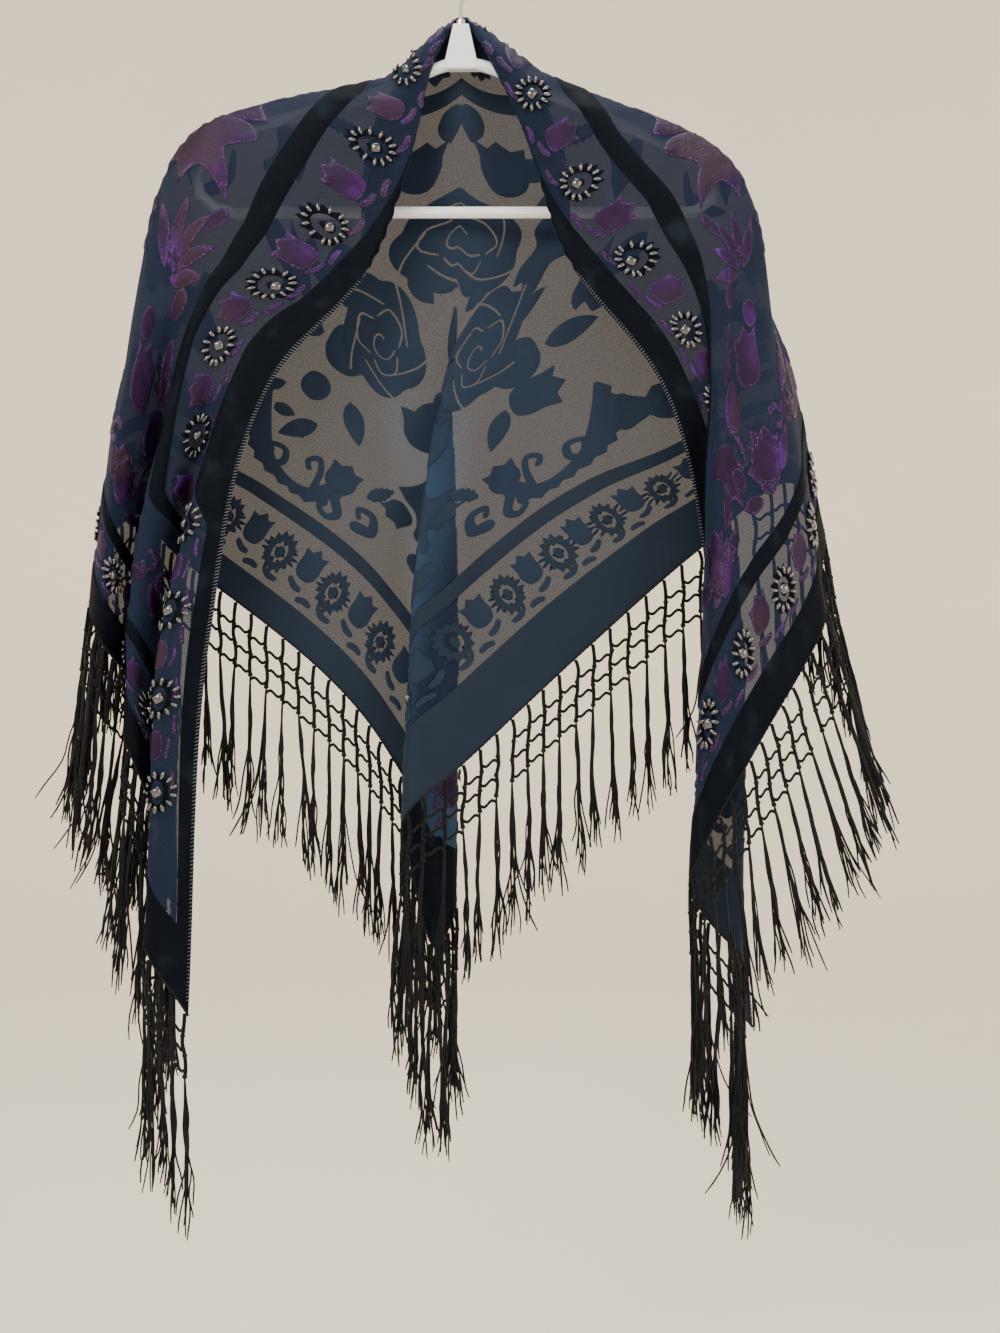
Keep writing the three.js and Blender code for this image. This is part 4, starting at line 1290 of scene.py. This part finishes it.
def sweep(name, material):
    """Round pale floor that bends up into a wall all round, open at the top."""
    flat_radius, bend, wall_top, parts = 3.0, 0.9, 3.2, 64
    profile = [(0.001, FLOOR), (flat_radius / 2, FLOOR)]
    profile += [(flat_radius + bend * math.sin(a), FLOOR + bend - bend * math.cos(a))
                for a in np.linspace(0, math.pi / 2, 12)]
    profile += [(flat_radius + bend, wall_top)]
    angles = [2 * math.pi * k / parts for k in range(parts)]
    verts = [(r * math.cos(a), r * math.sin(a), z) for a in angles for r, z in profile]
    m = len(profile)
    faces = [(k * m + j, (k + 1) % parts * m + j, (k + 1) % parts * m + j + 1, k * m + j + 1)
             for k in range(parts) for j in range(m - 1)]
    piece = mesh_piece(name, np.array(verts), np.array(faces), [material])


# The stretches of the hem, as shares across
FRINGES = {
    "fringe_left_front": (-1.0, -0.76),
    "fringe_left_side": (-0.76, -0.415),
    "fringe_back_left": (-0.415, -0.1),
    "fringe_back_centre": (-0.1, 0.19),
    "fringe_back_right": (0.19, 0.39),
    "fringe_right_side": (0.39, 0.63),
    "fringe_right_front": (0.63, 1.001),
}
SHAWL = ["shawl_yoke", "shawl_left_front", "shawl_left_side", "shawl_back_left", "shawl_back_centre",
         "shawl_back_right", "shawl_right_side", "shawl_right_front"]
# Height of the studio floor, in metres
FLOOR = -1.25

cloth_mats = [
    ground_material(),
    velvet_material(),
    band_material(),
    reverse_material("velvet reverse", (0.006, 0.014, 0.032), (0.011, 0.022, 0.045)),
    reverse_material("band reverse", (0.005, 0.012, 0.025), (0.009, 0.018, 0.034)),
]
cloth, reverse, bursts = build_cloth(cloth_mats)
yarn = yarn_material()
beads = build_beads(bursts, glass_material())
stitches = build_stitches(thread_material())
cord = build_hem_cord(yarn)
rng = np.random.default_rng(11)
fringe = []
for name, (low, high) in FRINGES.items():
    fringe += build_fringe(name, low, high, yarn, rng)
for piece, slot in ((cloth, "velvet"), (reverse, "velvet"), (beads, "velvet"), (stitches, "velvet"),
                    (cord, "fringe_yarn")):
    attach(piece, "root")
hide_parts(*SHAWL)
[reverse, beads, stitches, cord] + fringe

for name, material in (("hanger_hook", steel_material()), ("hanger_frame", plastic_material())):
    node = bpy.data.objects[name]
    for slot in node.material_slots:
        slot.material = material

sweep("studio_sweep", paper_material())
area_light("key", (-1.5, -2.2, 1.3), (0, 0, -0.5), (1.6, 1.6), 90, (1.0, 0.98, 0.95))
area_light("fill", (2.1, -1.8, 0.2), (0, 0, -0.5), (1.5, 2.0), 42, (0.93, 0.96, 1.0))
area_light("top", (0.2, 0.2, 2.2), (0, 0.3, -0.5), (2.0, 1.6), 60, (1.0, 0.99, 0.97))

world = bpy.data.worlds.new("studio")
world.use_nodes = True
world.node_tree.nodes["Background"].inputs[0].default_value = (0.80, 0.86, 1.0, 1.0)
world.node_tree.nodes["Background"].inputs[1].default_value = 0.35
bpy.context.scene.world = world

camera_data = bpy.data.cameras.new("photo camera")
camera_data.sensor_fit = "VERTICAL"
camera_data.sensor_height = 36.0
camera_data.lens = 48.47
camera = bpy.data.objects.new("photo camera", camera_data)
camera.location = (0.0304, -1.4, -0.562)
camera.rotation_euler = (math.pi / 2, 0, 0)
bpy.context.scene.collection.objects.link(camera)
bpy.context.scene.camera = camera
